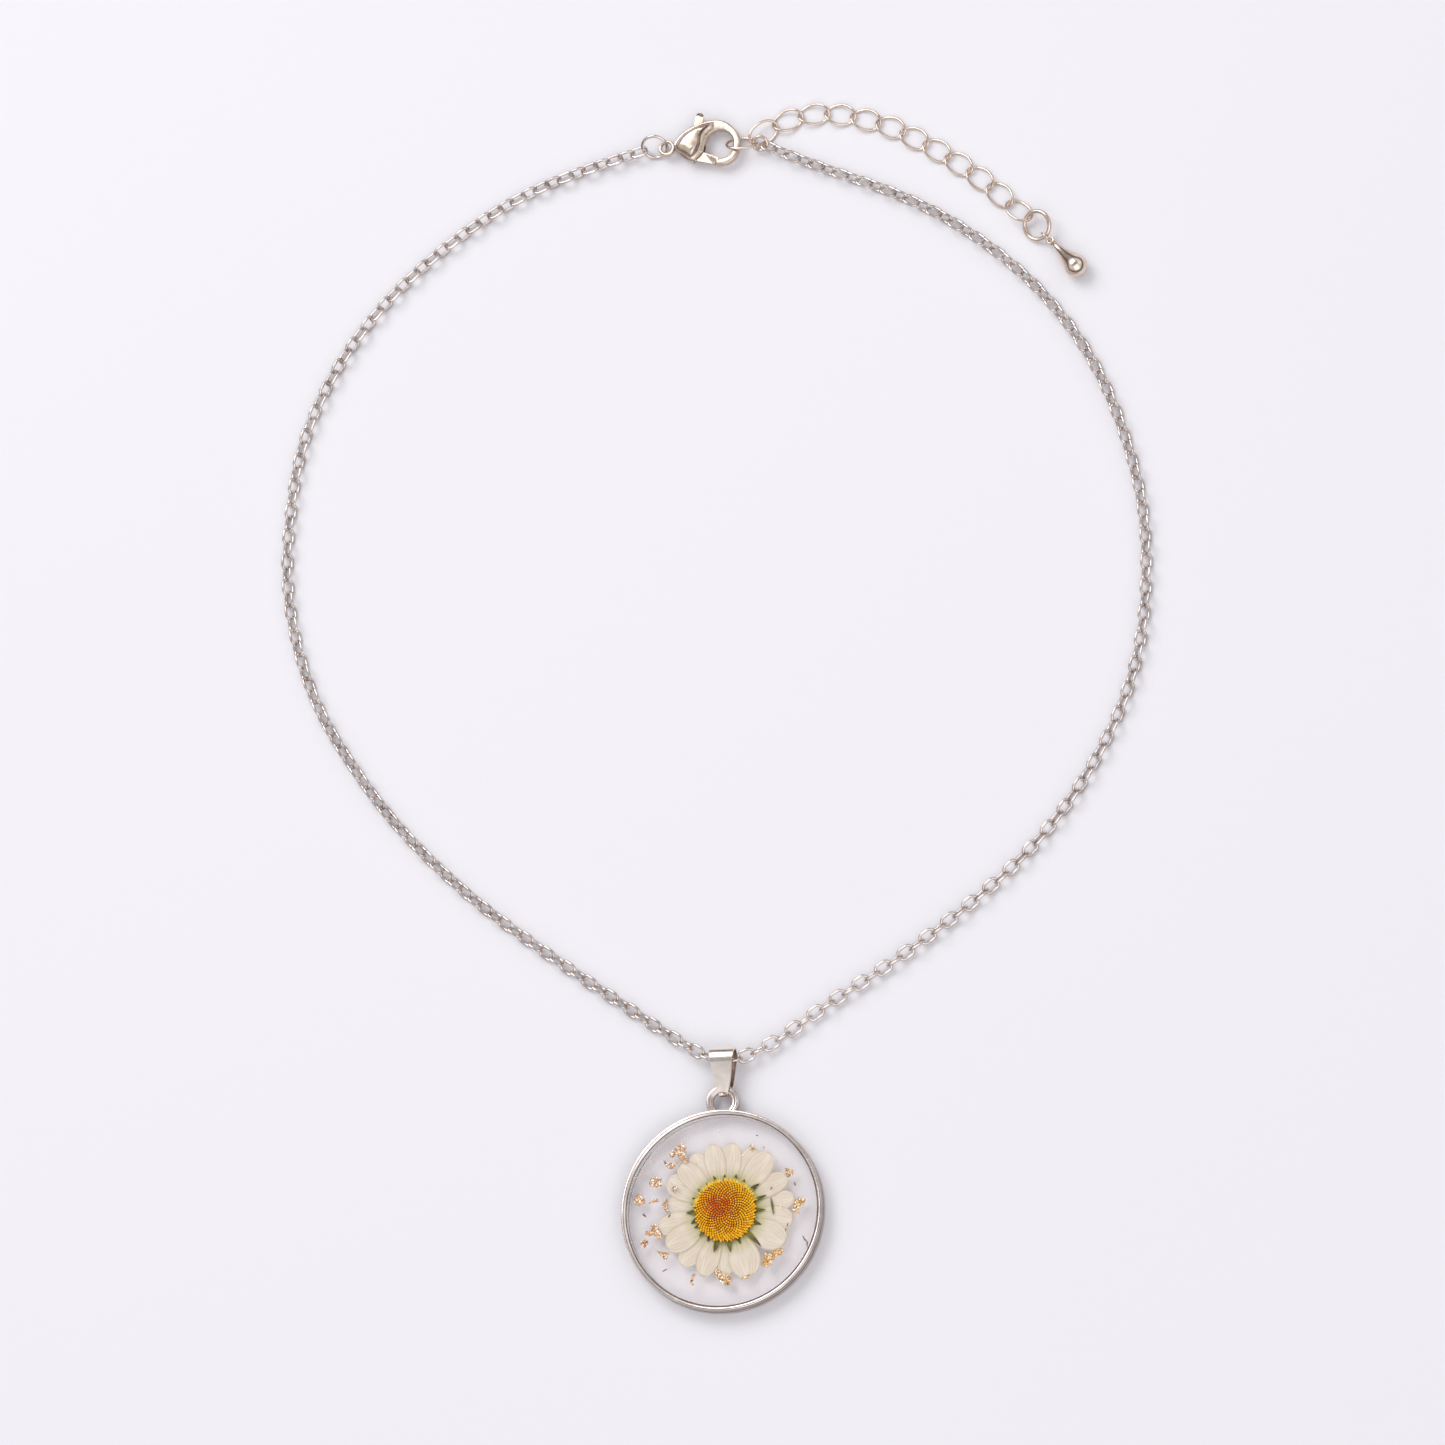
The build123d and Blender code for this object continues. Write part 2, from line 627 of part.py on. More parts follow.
# Jump ring between the chain and the clasp's eye, leaning on the surface
jump_r = (jump_outer_d - jump_wire) / 2
jump_z = jump_r * math.sin(math.radians(jump_roll)) + jump_wire / 2
jump_turn = math.asin((clasp_z - jump_z) / (jump_r * math.sin(math.radians(jump_roll))))
jump_x = clasp_x - jump_r * math.cos(jump_turn)
jump_y = clasp_y - jump_r * math.sin(jump_turn) * math.cos(math.radians(jump_roll))
jump_plane = rolled_plane((jump_x, jump_y, jump_z), (1, 0, 0), jump_roll)
with BuildPart() as clasp_jump_ring:
    with BuildSketch(Plane(origin=jump_plane.origin, x_dir=jump_plane.x_dir, z_dir=jump_plane.y_dir)):
        with Locations((jump_r, 0)):
            Circle(jump_wire / 2)
    revolve(axis=Axis(jump_plane.origin, jump_plane.z_dir))
clasp_jump_ring.part.label = "clasp_jump_ring"
export_step(clasp_jump_ring.part, "parts/clasp_jump_ring.step")

# Extender links: ovals whose two ends are rolled to opposite sides
curb_half_width = (curb_width - curb_wire) / 2


def curb_link(half_length, twist, steps=16):
    """A loop of wire, rolled backward at one end and forward at the other."""
    half_pitch = half_length - (curb_wire + curb_gap) / 2
    points = []
    for step in range(steps):
        turn = 2 * math.pi * step / steps
        along = half_length * math.cos(turn)
        across = curb_half_width * math.sin(turn)
        roll = math.radians(twist * along / half_pitch)
        points.append((along, across * math.cos(roll), across * math.sin(roll)))
    with BuildLine() as loop:
        Spline(*points, periodic=True)
    whole = loop.edge()
    with BuildPart(mode=Mode.PRIVATE) as link:
        for side in (whole.trim(0, 0.5), whole.trim(0.5, 1)):
            with BuildSketch(Plane(origin=side @ 0, z_dir=side % 0)):
                Circle(curb_wire / 2)
            sweep(path=Wire([side]))
    return link.part, min(z for x, y, z in points)


# The catch link, held in the clasp's hook, rolled so that it passes over and under the hook
catch_x = clasp_x + catch_share * clasp_length
catch_half = (curb_pitch_wanted + curb_wire + curb_gap) / 2
catch_plane = rolled_plane((catch_x, clasp_y, clasp_z), (1, 0, 0), catch_roll)


def catch_point(turn_degrees):
    turn = math.radians(turn_degrees)
    return catch_plane.from_local_coords(
        Vector(catch_half * math.cos(turn), curb_half_width * math.sin(turn), 0)
    )


first_spot = catch_point(38) + heading(first_link_angle) * (catch_half - curb_wire - curb_gap)
with BuildLine() as extender_path:
    Spline(
        (first_spot.X, first_spot.Y),
        *[(bail_x + x, bail_eye_y + y) for x, y in extender_route],
    )
extender_edge = extender_path.edge()
curb_count = 1 + round(extender_edge.length / curb_pitch_wanted)
curb_pitch = extender_edge.length / (curb_count - 1)
curb_half = (curb_pitch + curb_wire + curb_gap) / 2
print("extender", curb_count, "links after the catch link, pitch", round(curb_pitch, 3))



def leaning_place(spot, ahead, slope_degrees, roll_degrees):
    """Place of a flat link that leans on its neighbours and touches the surface."""
    slope = math.tan(math.radians(slope_degrees))
    place = rolled_plane((0, 0, 0), (ahead.X, ahead.Y, slope), roll_degrees)
    drop_below = math.hypot(curb_half * place.x_dir.Z, curb_half_width * place.y_dir.Z)
    place.origin = (spot.X, spot.Y, curb_wire / 2 + piece_gap + drop_below)
    return place


catch_link = curb_link(catch_half, 0)[0]
flat_link = curb_link(curb_half, 0)[0]
curb_shape, curb_low = curb_link(curb_half, curb_roll)
curb_z = curb_wire / 2 + piece_gap - curb_low
curb_places = []
for number in range(1, curb_count - 1):
    spot = extender_edge.position_at(number * curb_pitch, position_mode=PositionMode.LENGTH)
    ahead = extender_edge.tangent_at(number * curb_pitch, position_mode=PositionMode.LENGTH)
    curb_places.append(rolled_plane((spot.X, spot.Y, curb_z), (ahead.X, ahead.Y, 0), 0))
last_ahead = extender_edge % 1
first_place = leaning_place(first_spot, extender_edge % 0, catch_slope, curb_roll)
last_place = leaning_place(extender_edge @ 1, last_ahead, last_slope, -curb_roll)

with BuildPart() as extender_chain:
    with Locations(catch_plane.location):
        add(catch_link)
    with Locations(first_place.location, last_place.location):
        add(flat_link)
    with Locations(*[place.location for place in curb_places]):
        add(curb_shape)
extender_chain.part.label = "extender_chain"
export_step(extender_chain.part, "parts/extender_chain.step")

# Ring at the extender's free end, leaning on the last link
end_r = (end_outer_d - end_wire) / 2
end_hold = last_place.from_local_coords(Vector(curb_half, 0, 0))
end_reach = end_r - (end_wire + curb_wire) / 2 - wire_gap
end_z = end_r * math.sin(math.radians(end_roll)) + end_wire / 2 + end_lift
end_spot = Vector(end_hold.X + last_ahead.X * end_reach, end_hold.Y + last_ahead.Y * end_reach, end_z)
end_plane = rolled_plane(end_spot, heading(end_lean_angle), end_roll)
with BuildPart() as end_ring:
    with BuildSketch(Plane(origin=end_plane.origin, x_dir=end_plane.x_dir, z_dir=end_plane.y_dir)):
        with Locations((end_r, 0)):
            Circle(end_wire / 2)
    revolve(axis=Axis(end_plane.origin, end_plane.z_dir))
end_ring.part.label = "end_ring"
export_step(end_ring.part, "parts/end_ring.step")

# Upright little ring through the end ring and the drop's eye
link_ring_r = (drop_ring_outer_d - drop_wire) / 2
link_ring_z = link_ring_r * math.sin(math.radians(drop_ring_roll)) + drop_wire / 2 + piece_gap
hold_turn = math.radians(drop_hold_angle - end_lean_angle)
drop_hold = end_plane.from_local_coords(Vector(end_r * math.cos(hold_turn), end_r * math.sin(hold_turn), 0))
link_ring_ahead = heading(drop_ring_angle)
link_ring_slack = link_ring_r - (drop_wire + end_wire) / 2 - wire_gap
link_ring_spot = drop_hold + link_ring_ahead * (0.3 * link_ring_slack)
ring_plane = rolled_plane(
    (link_ring_spot.X, link_ring_spot.Y, link_ring_z), link_ring_ahead, drop_ring_roll
)
with BuildPart() as drop_ring:
    with BuildSketch(Plane(origin=ring_plane.origin, x_dir=ring_plane.x_dir, z_dir=ring_plane.y_dir)):
        with Locations((link_ring_r, 0)):
            Circle(drop_wire / 2)
    revolve(axis=Axis(ring_plane.origin, ring_plane.z_dir))
drop_ring.part.label = "drop_ring"
export_step(drop_ring.part, "parts/drop_ring.step")

# Drop with its own eye, lying with its wide end on the surface
drop_eye_r = drop_wire + wire_gap
eye_turn = math.radians(drop_eye_turn)
drop_eye = ring_plane.from_local_coords(
    Vector(link_ring_r * math.cos(eye_turn), link_ring_r * math.sin(eye_turn), 0)
)
drop_ahead = heading(drop_angle)
neck_reach = drop_eye_r + 0.3 * drop_wire
widest_share, widest_radius = max(drop_profile, key=lambda row: row[1])
drop_rise = (drop_r + piece_gap - drop_eye.Z) / (neck_reach + widest_share * drop_length)
drop_axis = Vector(drop_ahead.X, drop_ahead.Y, drop_rise).normalized()
cap_r = drop_cap_share * drop_r
cap_x = neck_reach + drop_length - cap_r
cap_turn = math.radians(drop_cap_angle)
cap_start = (cap_x + cap_r * math.cos(cap_turn), cap_r * math.sin(cap_turn))
cap_middle = (cap_x + cap_r * math.cos(cap_turn / 2), cap_r * math.sin(cap_turn / 2))
with BuildPart() as drop_shape:
    with BuildSketch(Plane.XY):
        with BuildLine():
            side_points = [(neck_reach + x * drop_length, r * drop_r) for x, r in drop_profile]
            Line((neck_reach, 0), side_points[0])
            Spline(*side_points, cap_start, tangents=[(1, 0.1), (cap_start[1], cap_x - cap_start[0])])
            ThreePointArc(cap_start, cap_middle, (cap_x + cap_r, 0))
            Line((cap_x + cap_r, 0), (neck_reach, 0))
        make_face()
    revolve(axis=Axis.X)
    with BuildSketch(Plane.XZ):
        with Locations((-drop_eye_r, 0)):
            Circle(drop_wire / 2)
    revolve(axis=Axis.Z)
drop_side = Vector(0, 0, 1).cross(drop_axis)
drop_place = Plane(origin=drop_eye, x_dir=drop_axis, z_dir=drop_axis.cross(drop_side))
with BuildPart() as drop:
    with Locations(drop_place.location):
        add(drop_shape.part)
drop.part.label = "drop"
export_step(drop.part, "parts/drop.step")

# Small ring that joins the chain's other end to the catch link, held up by it
small_r = (small_outer_d - small_wire) / 2
small_hold = catch_point(-5)
small_reach = small_r - (small_wire + curb_wire) / 2 - wire_gap
small_spot = small_hold + heading(small_ring_angle) * small_reach
small_plane = rolled_plane(small_spot, heading(small_lean_angle), small_roll)
with BuildPart() as chain_end_ring:
    with BuildSketch(Plane(origin=small_plane.origin, x_dir=small_plane.x_dir, z_dir=small_plane.y_dir)):
        with Locations((small_r, 0)):
            Circle(small_wire / 2)
    revolve(axis=Axis(small_plane.origin, small_plane.z_dir))
chain_end_ring.part.label = "chain_end_ring"
export_step(chain_end_ring.part, "parts/chain_end_ring.step")

# Cable chain: the route runs from the jump ring through the bail to the small ring
jump_hold = jump_r - (jump_wire + link_wire) / 2 - wire_gap
start_turn = math.radians(chain_start_angle)
start_flat = heading(chain_start_angle)
start_spot = jump_plane.from_local_coords(
    Vector(jump_hold * math.cos(start_turn), jump_hold * math.sin(start_turn), 0)
)
start_spot = start_spot + start_flat * (link_wire + wire_gap) / 2
finish_spot = small_spot + heading(chain_end_angle) * (small_r - (small_wire + link_wire) / 2 - wire_gap)

route_points = [(bail_x + x, bail_eye_y + y) for x, y, roll in chain_route]
with BuildLine() as route:
    Spline((start_spot.X, start_spot.Y), *route_points, (finish_spot.X, finish_spot.Y))
route_edge = route.edge()
route_length = route_edge.length
link_count = 2 * math.ceil((route_length / link_pitch_wanted - 1) / 2) + 1
link_pitch = route_length / link_count
link_length = link_pitch + 2 * link_wire + wire_gap
print("chain", round(route_length, 1), "long,", link_count, "links, pitch", round(link_pitch, 4))

roll_places = [0.0]
for x, y in route_points:
    share = route_edge.param_at_point(Vector(x, y))
    roll_places.append(route_edge.trim(0, share).length)
roll_places.append(route_length)
roll_values = [roll for x, y, roll in chain_route]
roll_values = [roll_values[0]] + roll_values + [roll_values[-1]]


def roll_at(distance):
    for near, far, roll_near, roll_far in zip(roll_places, roll_places[1:], roll_values, roll_values[1:]):
        if distance <= far:
            return roll_near + (roll_far - roll_near) * (distance - near) / (far - near)
    return roll_values[-1]


def blend(distance, reach):
    return (1 + math.cos(math.pi * min(distance / reach, 1))) / 2


def chain_point(distance):
    """Centre of the chain there, with its links touching the surface except near the rings and bail."""
    flat = route_edge.position_at(distance, position_mode=PositionMode.LENGTH)
    roll = math.radians(roll_at(distance))
    rest = (link_width - link_wire) / 2 * max(abs(math.sin(roll)), abs(math.cos(roll))) + link_wire / 2
    rest = rest + piece_gap
    away = math.hypot(flat.X - bail_x, flat.Y - bail_eye_y)
    height = rest + (bail_eye_z - rest) * blend(away, bail_lift_length)
    height = height + (start_spot.Z - rest) * blend(distance, bail_lift_length)
    height = height + (finish_spot.Z - rest) * blend(route_length - distance, bail_lift_length)
    return Vector(flat.X, flat.Y, height)


link_places = []
for number in range(link_count):
    middle = (number + 0.5) * link_pitch
    ahead = chain_point(middle + link_pitch / 2) - chain_point(middle - link_pitch / 2)
    roll = roll_at(middle) + 90 * (number % 2)
    link_places.append(rolled_plane(chain_point(middle), (ahead.X, ahead.Y, ahead.Z), roll).location)

with BuildPart() as chain_link:
    with BuildLine() as link_loop:
        half_straight = (link_length - link_width) / 2
        bend_r = (link_width - link_wire) / 2
        Line((-half_straight, -bend_r), (half_straight, -bend_r))
        RadiusArc((half_straight, -bend_r), (half_straight, bend_r), -bend_r)
        Line((half_straight, bend_r), (-half_straight, bend_r))
        RadiusArc((-half_straight, bend_r), (-half_straight, -bend_r), -bend_r)
    with BuildSketch(Plane(origin=(-half_straight, -bend_r, 0), z_dir=(1, 0, 0))):
        Circle(link_wire / 2)
    sweep(path=link_loop.wire())

with BuildPart() as chain:
    with Locations(*link_places):
        add(chain_link.part)
chain.part.label = "chain"
export_step(chain.part, "parts/chain.step")
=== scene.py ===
import math

import bmesh
import bpy
import numpy as np
from mathutils import Matrix, Vector, noise


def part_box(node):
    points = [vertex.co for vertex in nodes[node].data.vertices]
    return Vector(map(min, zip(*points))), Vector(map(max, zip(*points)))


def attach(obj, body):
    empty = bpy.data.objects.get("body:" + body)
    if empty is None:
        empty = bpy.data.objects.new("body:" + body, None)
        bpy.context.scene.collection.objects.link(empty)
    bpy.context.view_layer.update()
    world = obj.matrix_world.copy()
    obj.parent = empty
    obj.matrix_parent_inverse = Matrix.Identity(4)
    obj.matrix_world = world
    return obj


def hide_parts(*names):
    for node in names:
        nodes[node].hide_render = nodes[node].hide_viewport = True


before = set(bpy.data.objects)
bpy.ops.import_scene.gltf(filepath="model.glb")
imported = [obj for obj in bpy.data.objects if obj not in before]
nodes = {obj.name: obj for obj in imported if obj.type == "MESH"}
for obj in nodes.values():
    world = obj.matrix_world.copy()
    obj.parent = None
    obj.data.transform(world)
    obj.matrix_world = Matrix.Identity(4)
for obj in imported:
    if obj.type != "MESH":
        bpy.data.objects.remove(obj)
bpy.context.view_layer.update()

mm = 0.001
weldGap = 2e-6
collection = bpy.context.scene.collection
print("frame loaded:", len(nodes), "nodes")

# Camera, high above the front of the necklace and a little to its right
view = {
    "target": (-0.32, 74.62, 0.0), "lean": 19.0, "turn": 36.0, "distance": 1200.0,
    "lens": 200.55, "sensor": 36.0, "clip": (0.01, 20.0),
}

lean, turn = math.radians(view["lean"]), math.radians(view["turn"])
towards = Vector((math.sin(lean) * math.sin(turn), -math.sin(lean) * math.cos(turn), math.cos(lean)))
across = Vector((towards.z, 0.0, -towards.x)).normalized()
upwards = towards.cross(across)
place = (Vector(view["target"]) + towards * view["distance"]) * mm
cameraData = bpy.data.cameras.new("photoCamera")
cameraData.lens = view["lens"]
cameraData.sensor_width = view["sensor"]
cameraData.clip_start, cameraData.clip_end = view["clip"]
camera = bpy.data.objects.new("photoCamera", cameraData)
camera.matrix_world = Matrix((
    (across.x, upwards.x, towards.x, place.x),
    (across.y, upwards.y, towards.y, place.y),
    (across.z, upwards.z, towards.z, place.z),
    (0.0, 0.0, 0.0, 1.0),
))
collection.objects.link(camera)
bpy.context.scene.camera = camera
bpy.context.scene.view_settings.view_transform = "Standard"  # the photo's whites stay white
print("camera placed")


# Node helpers that every material below is wired with

def newMaterial(name):
    material = bpy.data.materials.new(name)
    material.use_nodes = True
    tree = material.node_tree
    tree.nodes.clear()
    output = tree.nodes.new("ShaderNodeOutputMaterial")
    return material, tree, output


def addNode(tree, kind, inputs=None, **settings):
    node = tree.nodes.new(kind)
    for key, value in settings.items():
        setattr(node, key, value)
    for key, value in (inputs or {}).items():
        socket = node.inputs[key]
        if isinstance(value, bpy.types.NodeSocket):
            tree.links.new(value, socket)
        else:
            socket.default_value = value
    return node


def ramp(tree, factor, stops):
    node = tree.nodes.new("ShaderNodeValToRGB")
    node.color_ramp.interpolation = "LINEAR"
    elements = node.color_ramp.elements
    while len(elements) < len(stops):
        elements.new(0.5)
    for element, (position, colour) in zip(elements, stops):
        element.position = position
        element.color = (*colour, 1.0)
    tree.links.new(factor, node.inputs["Fac"])
    return node.outputs["Color"]


def mixColour(tree, factor, first, second):
    node = tree.nodes.new("ShaderNodeMix")
    node.data_type = "RGBA"
    for socket, value in ((node.inputs[0], factor), (node.inputs[6], first), (node.inputs[7], second)):
        if isinstance(value, bpy.types.NodeSocket):
            tree.links.new(value, socket)
        else:
            socket.default_value = (*value, 1.0) if isinstance(value, tuple) else value
    return node.outputs[2]


def remap(tree, value, low, high, toLow, toHigh):
    node = addNode(tree, "ShaderNodeMapRange", {
        "Value": value, "From Min": low, "From Max": high, "To Min": toLow, "To Max": toHigh})
    return node.outputs["Result"]


def calc(tree, operation, first, second=0.5):
    return addNode(tree, "ShaderNodeMath", {0: first, 1: second}, operation=operation).outputs[0]


# Polished plated metal: faint cloudy tone, polishing haze and fine rubbing lines
def buildMetalWear():
    group = bpy.data.node_groups.new("metalWear", "ShaderNodeTree")
    face = group.interface
    for name, kind, value in (
        ("Vector", "NodeSocketVector", None), ("Tone", "NodeSocketColor", (0.8, 0.8, 0.8, 1)),
        ("Shade", "NodeSocketColor", (0.6, 0.6, 0.6, 1)), ("Haze", "NodeSocketFloat", 0.12),
        ("Lines", "NodeSocketFloat", 0.1),
    ):
        socket = face.new_socket(name=name, in_out="INPUT", socket_type=kind)
        if value is not None:
            socket.default_value = value
    for name, kind in (
        ("Color", "NodeSocketColor"), ("Roughness", "NodeSocketFloat"), ("Height", "NodeSocketFloat"),
    ):
        face.new_socket(name=name, in_out="OUTPUT", socket_type=kind)
    start = group.nodes.new("NodeGroupInput")
    end = group.nodes.new("NodeGroupOutput")
    cloud = addNode(group, "ShaderNodeTexNoise", {
        "Vector": start.outputs["Vector"], "Scale": 420.0, "Detail": 3.0, "Roughness": 0.55})
    colour = mixColour(group, remap(group, cloud.outputs[0], 0.35, 0.7, 0.0, 1.0), start.outputs["Tone"],
                       start.outputs["Shade"])
    haze = addNode(group, "ShaderNodeTexNoise", {
        "Vector": start.outputs["Vector"], "Scale": 1500.0, "Detail": 4.0, "Roughness": 0.6})
    spread = remap(group, haze.outputs[0], 0.3, 0.75, 0.65, 1.5)
    stretched = addNode(group, "ShaderNodeMapping", {
        "Vector": start.outputs["Vector"], "Scale": (1.0, 9.0, 1.0), "Rotation": (0.2, 0.1, 0.6)})
    rubbed = addNode(group, "ShaderNodeTexNoise", {
        "Vector": stretched.outputs[0], "Scale": 1100.0, "Detail": 2.0, "Roughness": 0.5})
    group.links.new(colour, end.inputs["Color"])
    group.links.new(calc(group, "MULTIPLY", start.outputs["Haze"], spread), end.inputs["Roughness"])
    group.links.new(calc(group, "MULTIPLY", start.outputs["Lines"], rubbed.outputs[0]), end.inputs["Height"])
    return group


metalWear = buildMetalWear()


def turnedLinesAndShade(tree, coords):
    # rings left by turning the rim: they follow the distance from its middle and the height; a mask of
    # painted shade for the outer side comes back with them
    split = addNode(tree, "ShaderNodeSeparateXYZ", {0: coords.outputs["Object"]})
    flat = addNode(tree, "ShaderNodeVectorMath", {0: coords.outputs["Object"], 1: (1.0, 1.0, 0.0)},
                   operation="MULTIPLY")
    reach = addNode(tree, "ShaderNodeVectorMath", {0: flat.outputs[0]}, operation="LENGTH")
    rings = addNode(tree, "ShaderNodeCombineXYZ", {0: reach.outputs["Value"], 2: split.outputs[2]})
    fine = addNode(tree, "ShaderNodeTexNoise", {
        "Vector": rings.outputs[0], "Scale": rimLinesAndShade["lineScale"], "Detail": 2.0})
    height = remap(tree, split.outputs[2], 0.0, rimLinesAndShade["height"] * mm, 0.0, 1.0)
    # painted shade: bands at set heights darken the rim's outer side
    paintedShade = ramp(tree, height, rimLinesAndShade["shadeBands"])
    inner, outer = (edge * mm for edge in rimLinesAndShade["outside"])
    outside = remap(tree, reach.outputs["Value"], inner, outer, 0.0, 1.0)
    return fine.outputs[0], calc(tree, "MULTIPLY", paintedShade, outside)


def plated(name, tone, shade, haze, lines, bump, turned=False):
    material, tree, output = newMaterial(name)
    coords = addNode(tree, "ShaderNodeTexCoord")
    wear = addNode(tree, "ShaderNodeGroup", node_tree=metalWear)
    tree.links.new(coords.outputs["Object"], wear.inputs["Vector"])
    wear.inputs["Tone"].default_value = (*tone, 1.0)
    wear.inputs["Shade"].default_value = (*shade, 1.0)
    wear.inputs["Haze"].default_value = haze
    wear.inputs["Lines"].default_value = lines
    height, colour = wear.outputs["Height"], wear.outputs["Color"]
    if turned:
        fine, paintedShade = turnedLinesAndShade(tree, coords)
        height = calc(tree, "ADD", height, calc(tree, "MULTIPLY", fine, rimLinesAndShade["lines"]))
        # the painted shade bands darken the colour on the outer side
        colour = mixColour(tree, paintedShade, colour, rimLinesAndShade["paintedShadeTone"])
    relief = addNode(tree, "ShaderNodeBump", {"Strength": bump, "Distance": 0.00005, "Height": height})
    shader = addNode(tree, "ShaderNodeBsdfPrincipled", {
        "Metallic": 1.0, "Base Color": colour, "Roughness": wear.outputs["Roughness"],
        "Normal": relief.outputs[0]})
    tree.links.new(shader.outputs[0], output.inputs["Surface"])
    return material


# heights in mm; the bands paint shade on the outer side at its groove and under its top edge
rimLinesAndShade = {
    "height": 2.7, "lines": 1.2, "lineScale": 3600.0, "outside": (14.80, 14.88),
    "paintedShadeTone": (0.27, 0.21, 0.18),
    "shadeBands": ((0.0, (0.8, 0.8, 0.8)), (0.08, (0.2, 0.2, 0.2)), (0.30, (0, 0, 0)), (0.36, (0.9, 0.9, 0.9)),
              (0.54, (0.9, 0.9, 0.9)), (0.60, (0, 0, 0)), (0.76, (0, 0, 0)), (0.82, (0.95, 0.95, 0.95)),
              (0.95, (0.9, 0.9, 0.9)), (0.98, (0, 0, 0))),
}
rimMetal = plated(
    "rimMetal", tone=(0.83, 0.74, 0.70), shade=(0.64, 0.55, 0.51), haze=0.14, lines=0.6, bump=0.22,
    turned=True)
chainMetal = plated(
    "chainMetal", tone=(0.80, 0.72, 0.68), shade=(0.58, 0.50, 0.465), haze=0.14, lines=0.5, bump=0.25)
fittingMetal = plated(
    "fittingMetal", tone=(0.83, 0.70, 0.60), shade=(0.64, 0.51, 0.42), haze=0.18, lines=0.5, bump=0.2)
claspMetal = plated(
    "claspMetal", tone=(0.72, 0.60, 0.51), shade=(0.55, 0.44, 0.36), haze=0.28, lines=0.5, bump=0.2)
bailMetal = plated(
    "bailMetal", tone=(0.96, 0.87, 0.80), shade=(0.86, 0.77, 0.70), haze=0.17, lines=0.5, bump=0.2)
print("metals mixed")


def mergedCopy(node):
    shape = bmesh.new()
    shape.from_mesh(nodes[node].data)
    bmesh.ops.remove_doubles(shape, verts=shape.verts, dist=weldGap)
    return shape


def addTo(shape, part):
    held = bpy.data.meshes.new("held")
    part.to_mesh(held)
    part.free()
    shape.from_mesh(held)
    bpy.data.meshes.remove(held)


def inBatches(shape, count, perBatch, addOne):
    # small batches, because a large bmesh is slow to add to
    for first in range(0, count, perBatch):
        batch = bmesh.new()
        for number in range(first, min(first + perBatch, count)):
            addOne(batch, number)
        addTo(shape, batch)


def cutFinely(shape, rounds, longest):
    for cutRound in range(rounds):
        longEdges = [edge for edge in shape.edges if edge.calc_length() > longest]
        if not longEdges:
            break
        bmesh.ops.subdivide_edges(shape, edges=longEdges, cuts=1, use_grid_fill=False)
        bmesh.ops.triangulate(shape, faces=shape.faces[:])


def finishPiece(shape, name, material, slotName, replaced=(), body="necklace", sharp=40.0, smooth=True):
    mesh = bpy.data.meshes.new(name)
    shape.to_mesh(mesh)
    shape.free()
    if smooth:
        mesh.shade_smooth()
        mesh.set_sharp_from_angle(angle=math.radians(sharp))
    else:
        mesh.shade_flat()
    mesh.materials.append(material)
    piece = bpy.data.objects.new(name, mesh)
    collection.objects.link(piece)
    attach(piece, body)
    if replaced:
        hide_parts(*replaced)


def topLoops(shape):
    top = {face for face in shape.faces if face.normal.z > 0.9}
    beside = {}
    for edge in shape.edges:
        if sum(face in top for face in edge.link_faces) == 1:
            for here, there in (edge.verts, reversed(edge.verts)):
                beside.setdefault(here, []).append(there)
    loops, left = [], set(beside)
    while left:
        start = min(left, key=lambda vert: tuple(vert.co))  # a set's own order changes from run to run
        left.discard(start)
        loop, last, here = [start], None, start
        while True:
            ahead = [vert for vert in beside[here] if vert is not last][0]
            if ahead is start:
                break
            loop.append(ahead)
            left.discard(ahead)
            last, here = here, ahead
        loops.append([vert.co.copy() for vert in loop])
    return sorted(loops, key=len, reverse=True)


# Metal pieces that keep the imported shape, merged and shaded smooth
metalPieces = {
    "rimWithLoop": ("bezel_frame", rimMetal, "rim_metal", 32.0),
    "bailStrap": ("bail", bailMetal, "rim_metal", 35.0),
    "claspFrame": ("clasp_body", claspMetal, "fitting_metal", 38.0),
    "claspPin": ("clasp_pin", claspMetal, "fitting_metal", 40.0),
    "jumpRing": ("clasp_jump_ring", chainMetal, "fitting_metal", 60.0),
    "chainEndRing": ("chain_end_ring", fittingMetal, "fitting_metal", 60.0),
    "extenderLinks": ("extender_chain", fittingMetal, "fitting_metal", 70.0),
    "endRing": ("end_ring", fittingMetal, "fitting_metal", 60.0),
    "dropRing": ("drop_ring", fittingMetal, "fitting_metal", 60.0),
    "dropBead": ("drop", fittingMetal, "fitting_metal", 50.0),
}
for name, (node, material, slotName, sharp) in metalPieces.items():
    finishPiece(mergedCopy(node), name, material, slotName, (node,), "necklace", sharp)
finishPiece(mergedCopy("clasp_lever"), "claspLever", claspMetal, "fitting_metal", ("clasp_lever",),
            "lever", 35.0)
print("metal pieces dressed")


# Cable chain: one link of round wire, copied to where each packed link lies
chainLinks = {"sides": 6, "steps": 12, "perBatch": 26, "samePoint": 2e-7, "weld": 1e-6}


def looseParts(mesh):
    corners = np.empty(len(mesh.loops), dtype=np.int64)
    mesh.loops.foreach_get("vertex_index", corners)
    points = np.empty(len(mesh.vertices) * 3)
    mesh.vertices.foreach_get("co", points)
    points = points.reshape(-1, 3)
    keys = np.round(points / chainLinks["samePoint"]).astype(np.int64)
    unique, first, same = np.unique(keys, axis=0, return_index=True, return_inverse=True)
    triangles = same.reshape(-1)[corners].reshape(-1, 3)
    label = np.arange(len(unique))
    while True:
        low = label[triangles].min(axis=1)
        before = label.copy()
        for side in range(3):
            np.minimum.at(label, triangles[:, side], low)
        label = label[label]
        label = label[label]
        if (label == before).all():
            break
    points = points[first]
    return [points[label == part] for part in np.unique(label)]


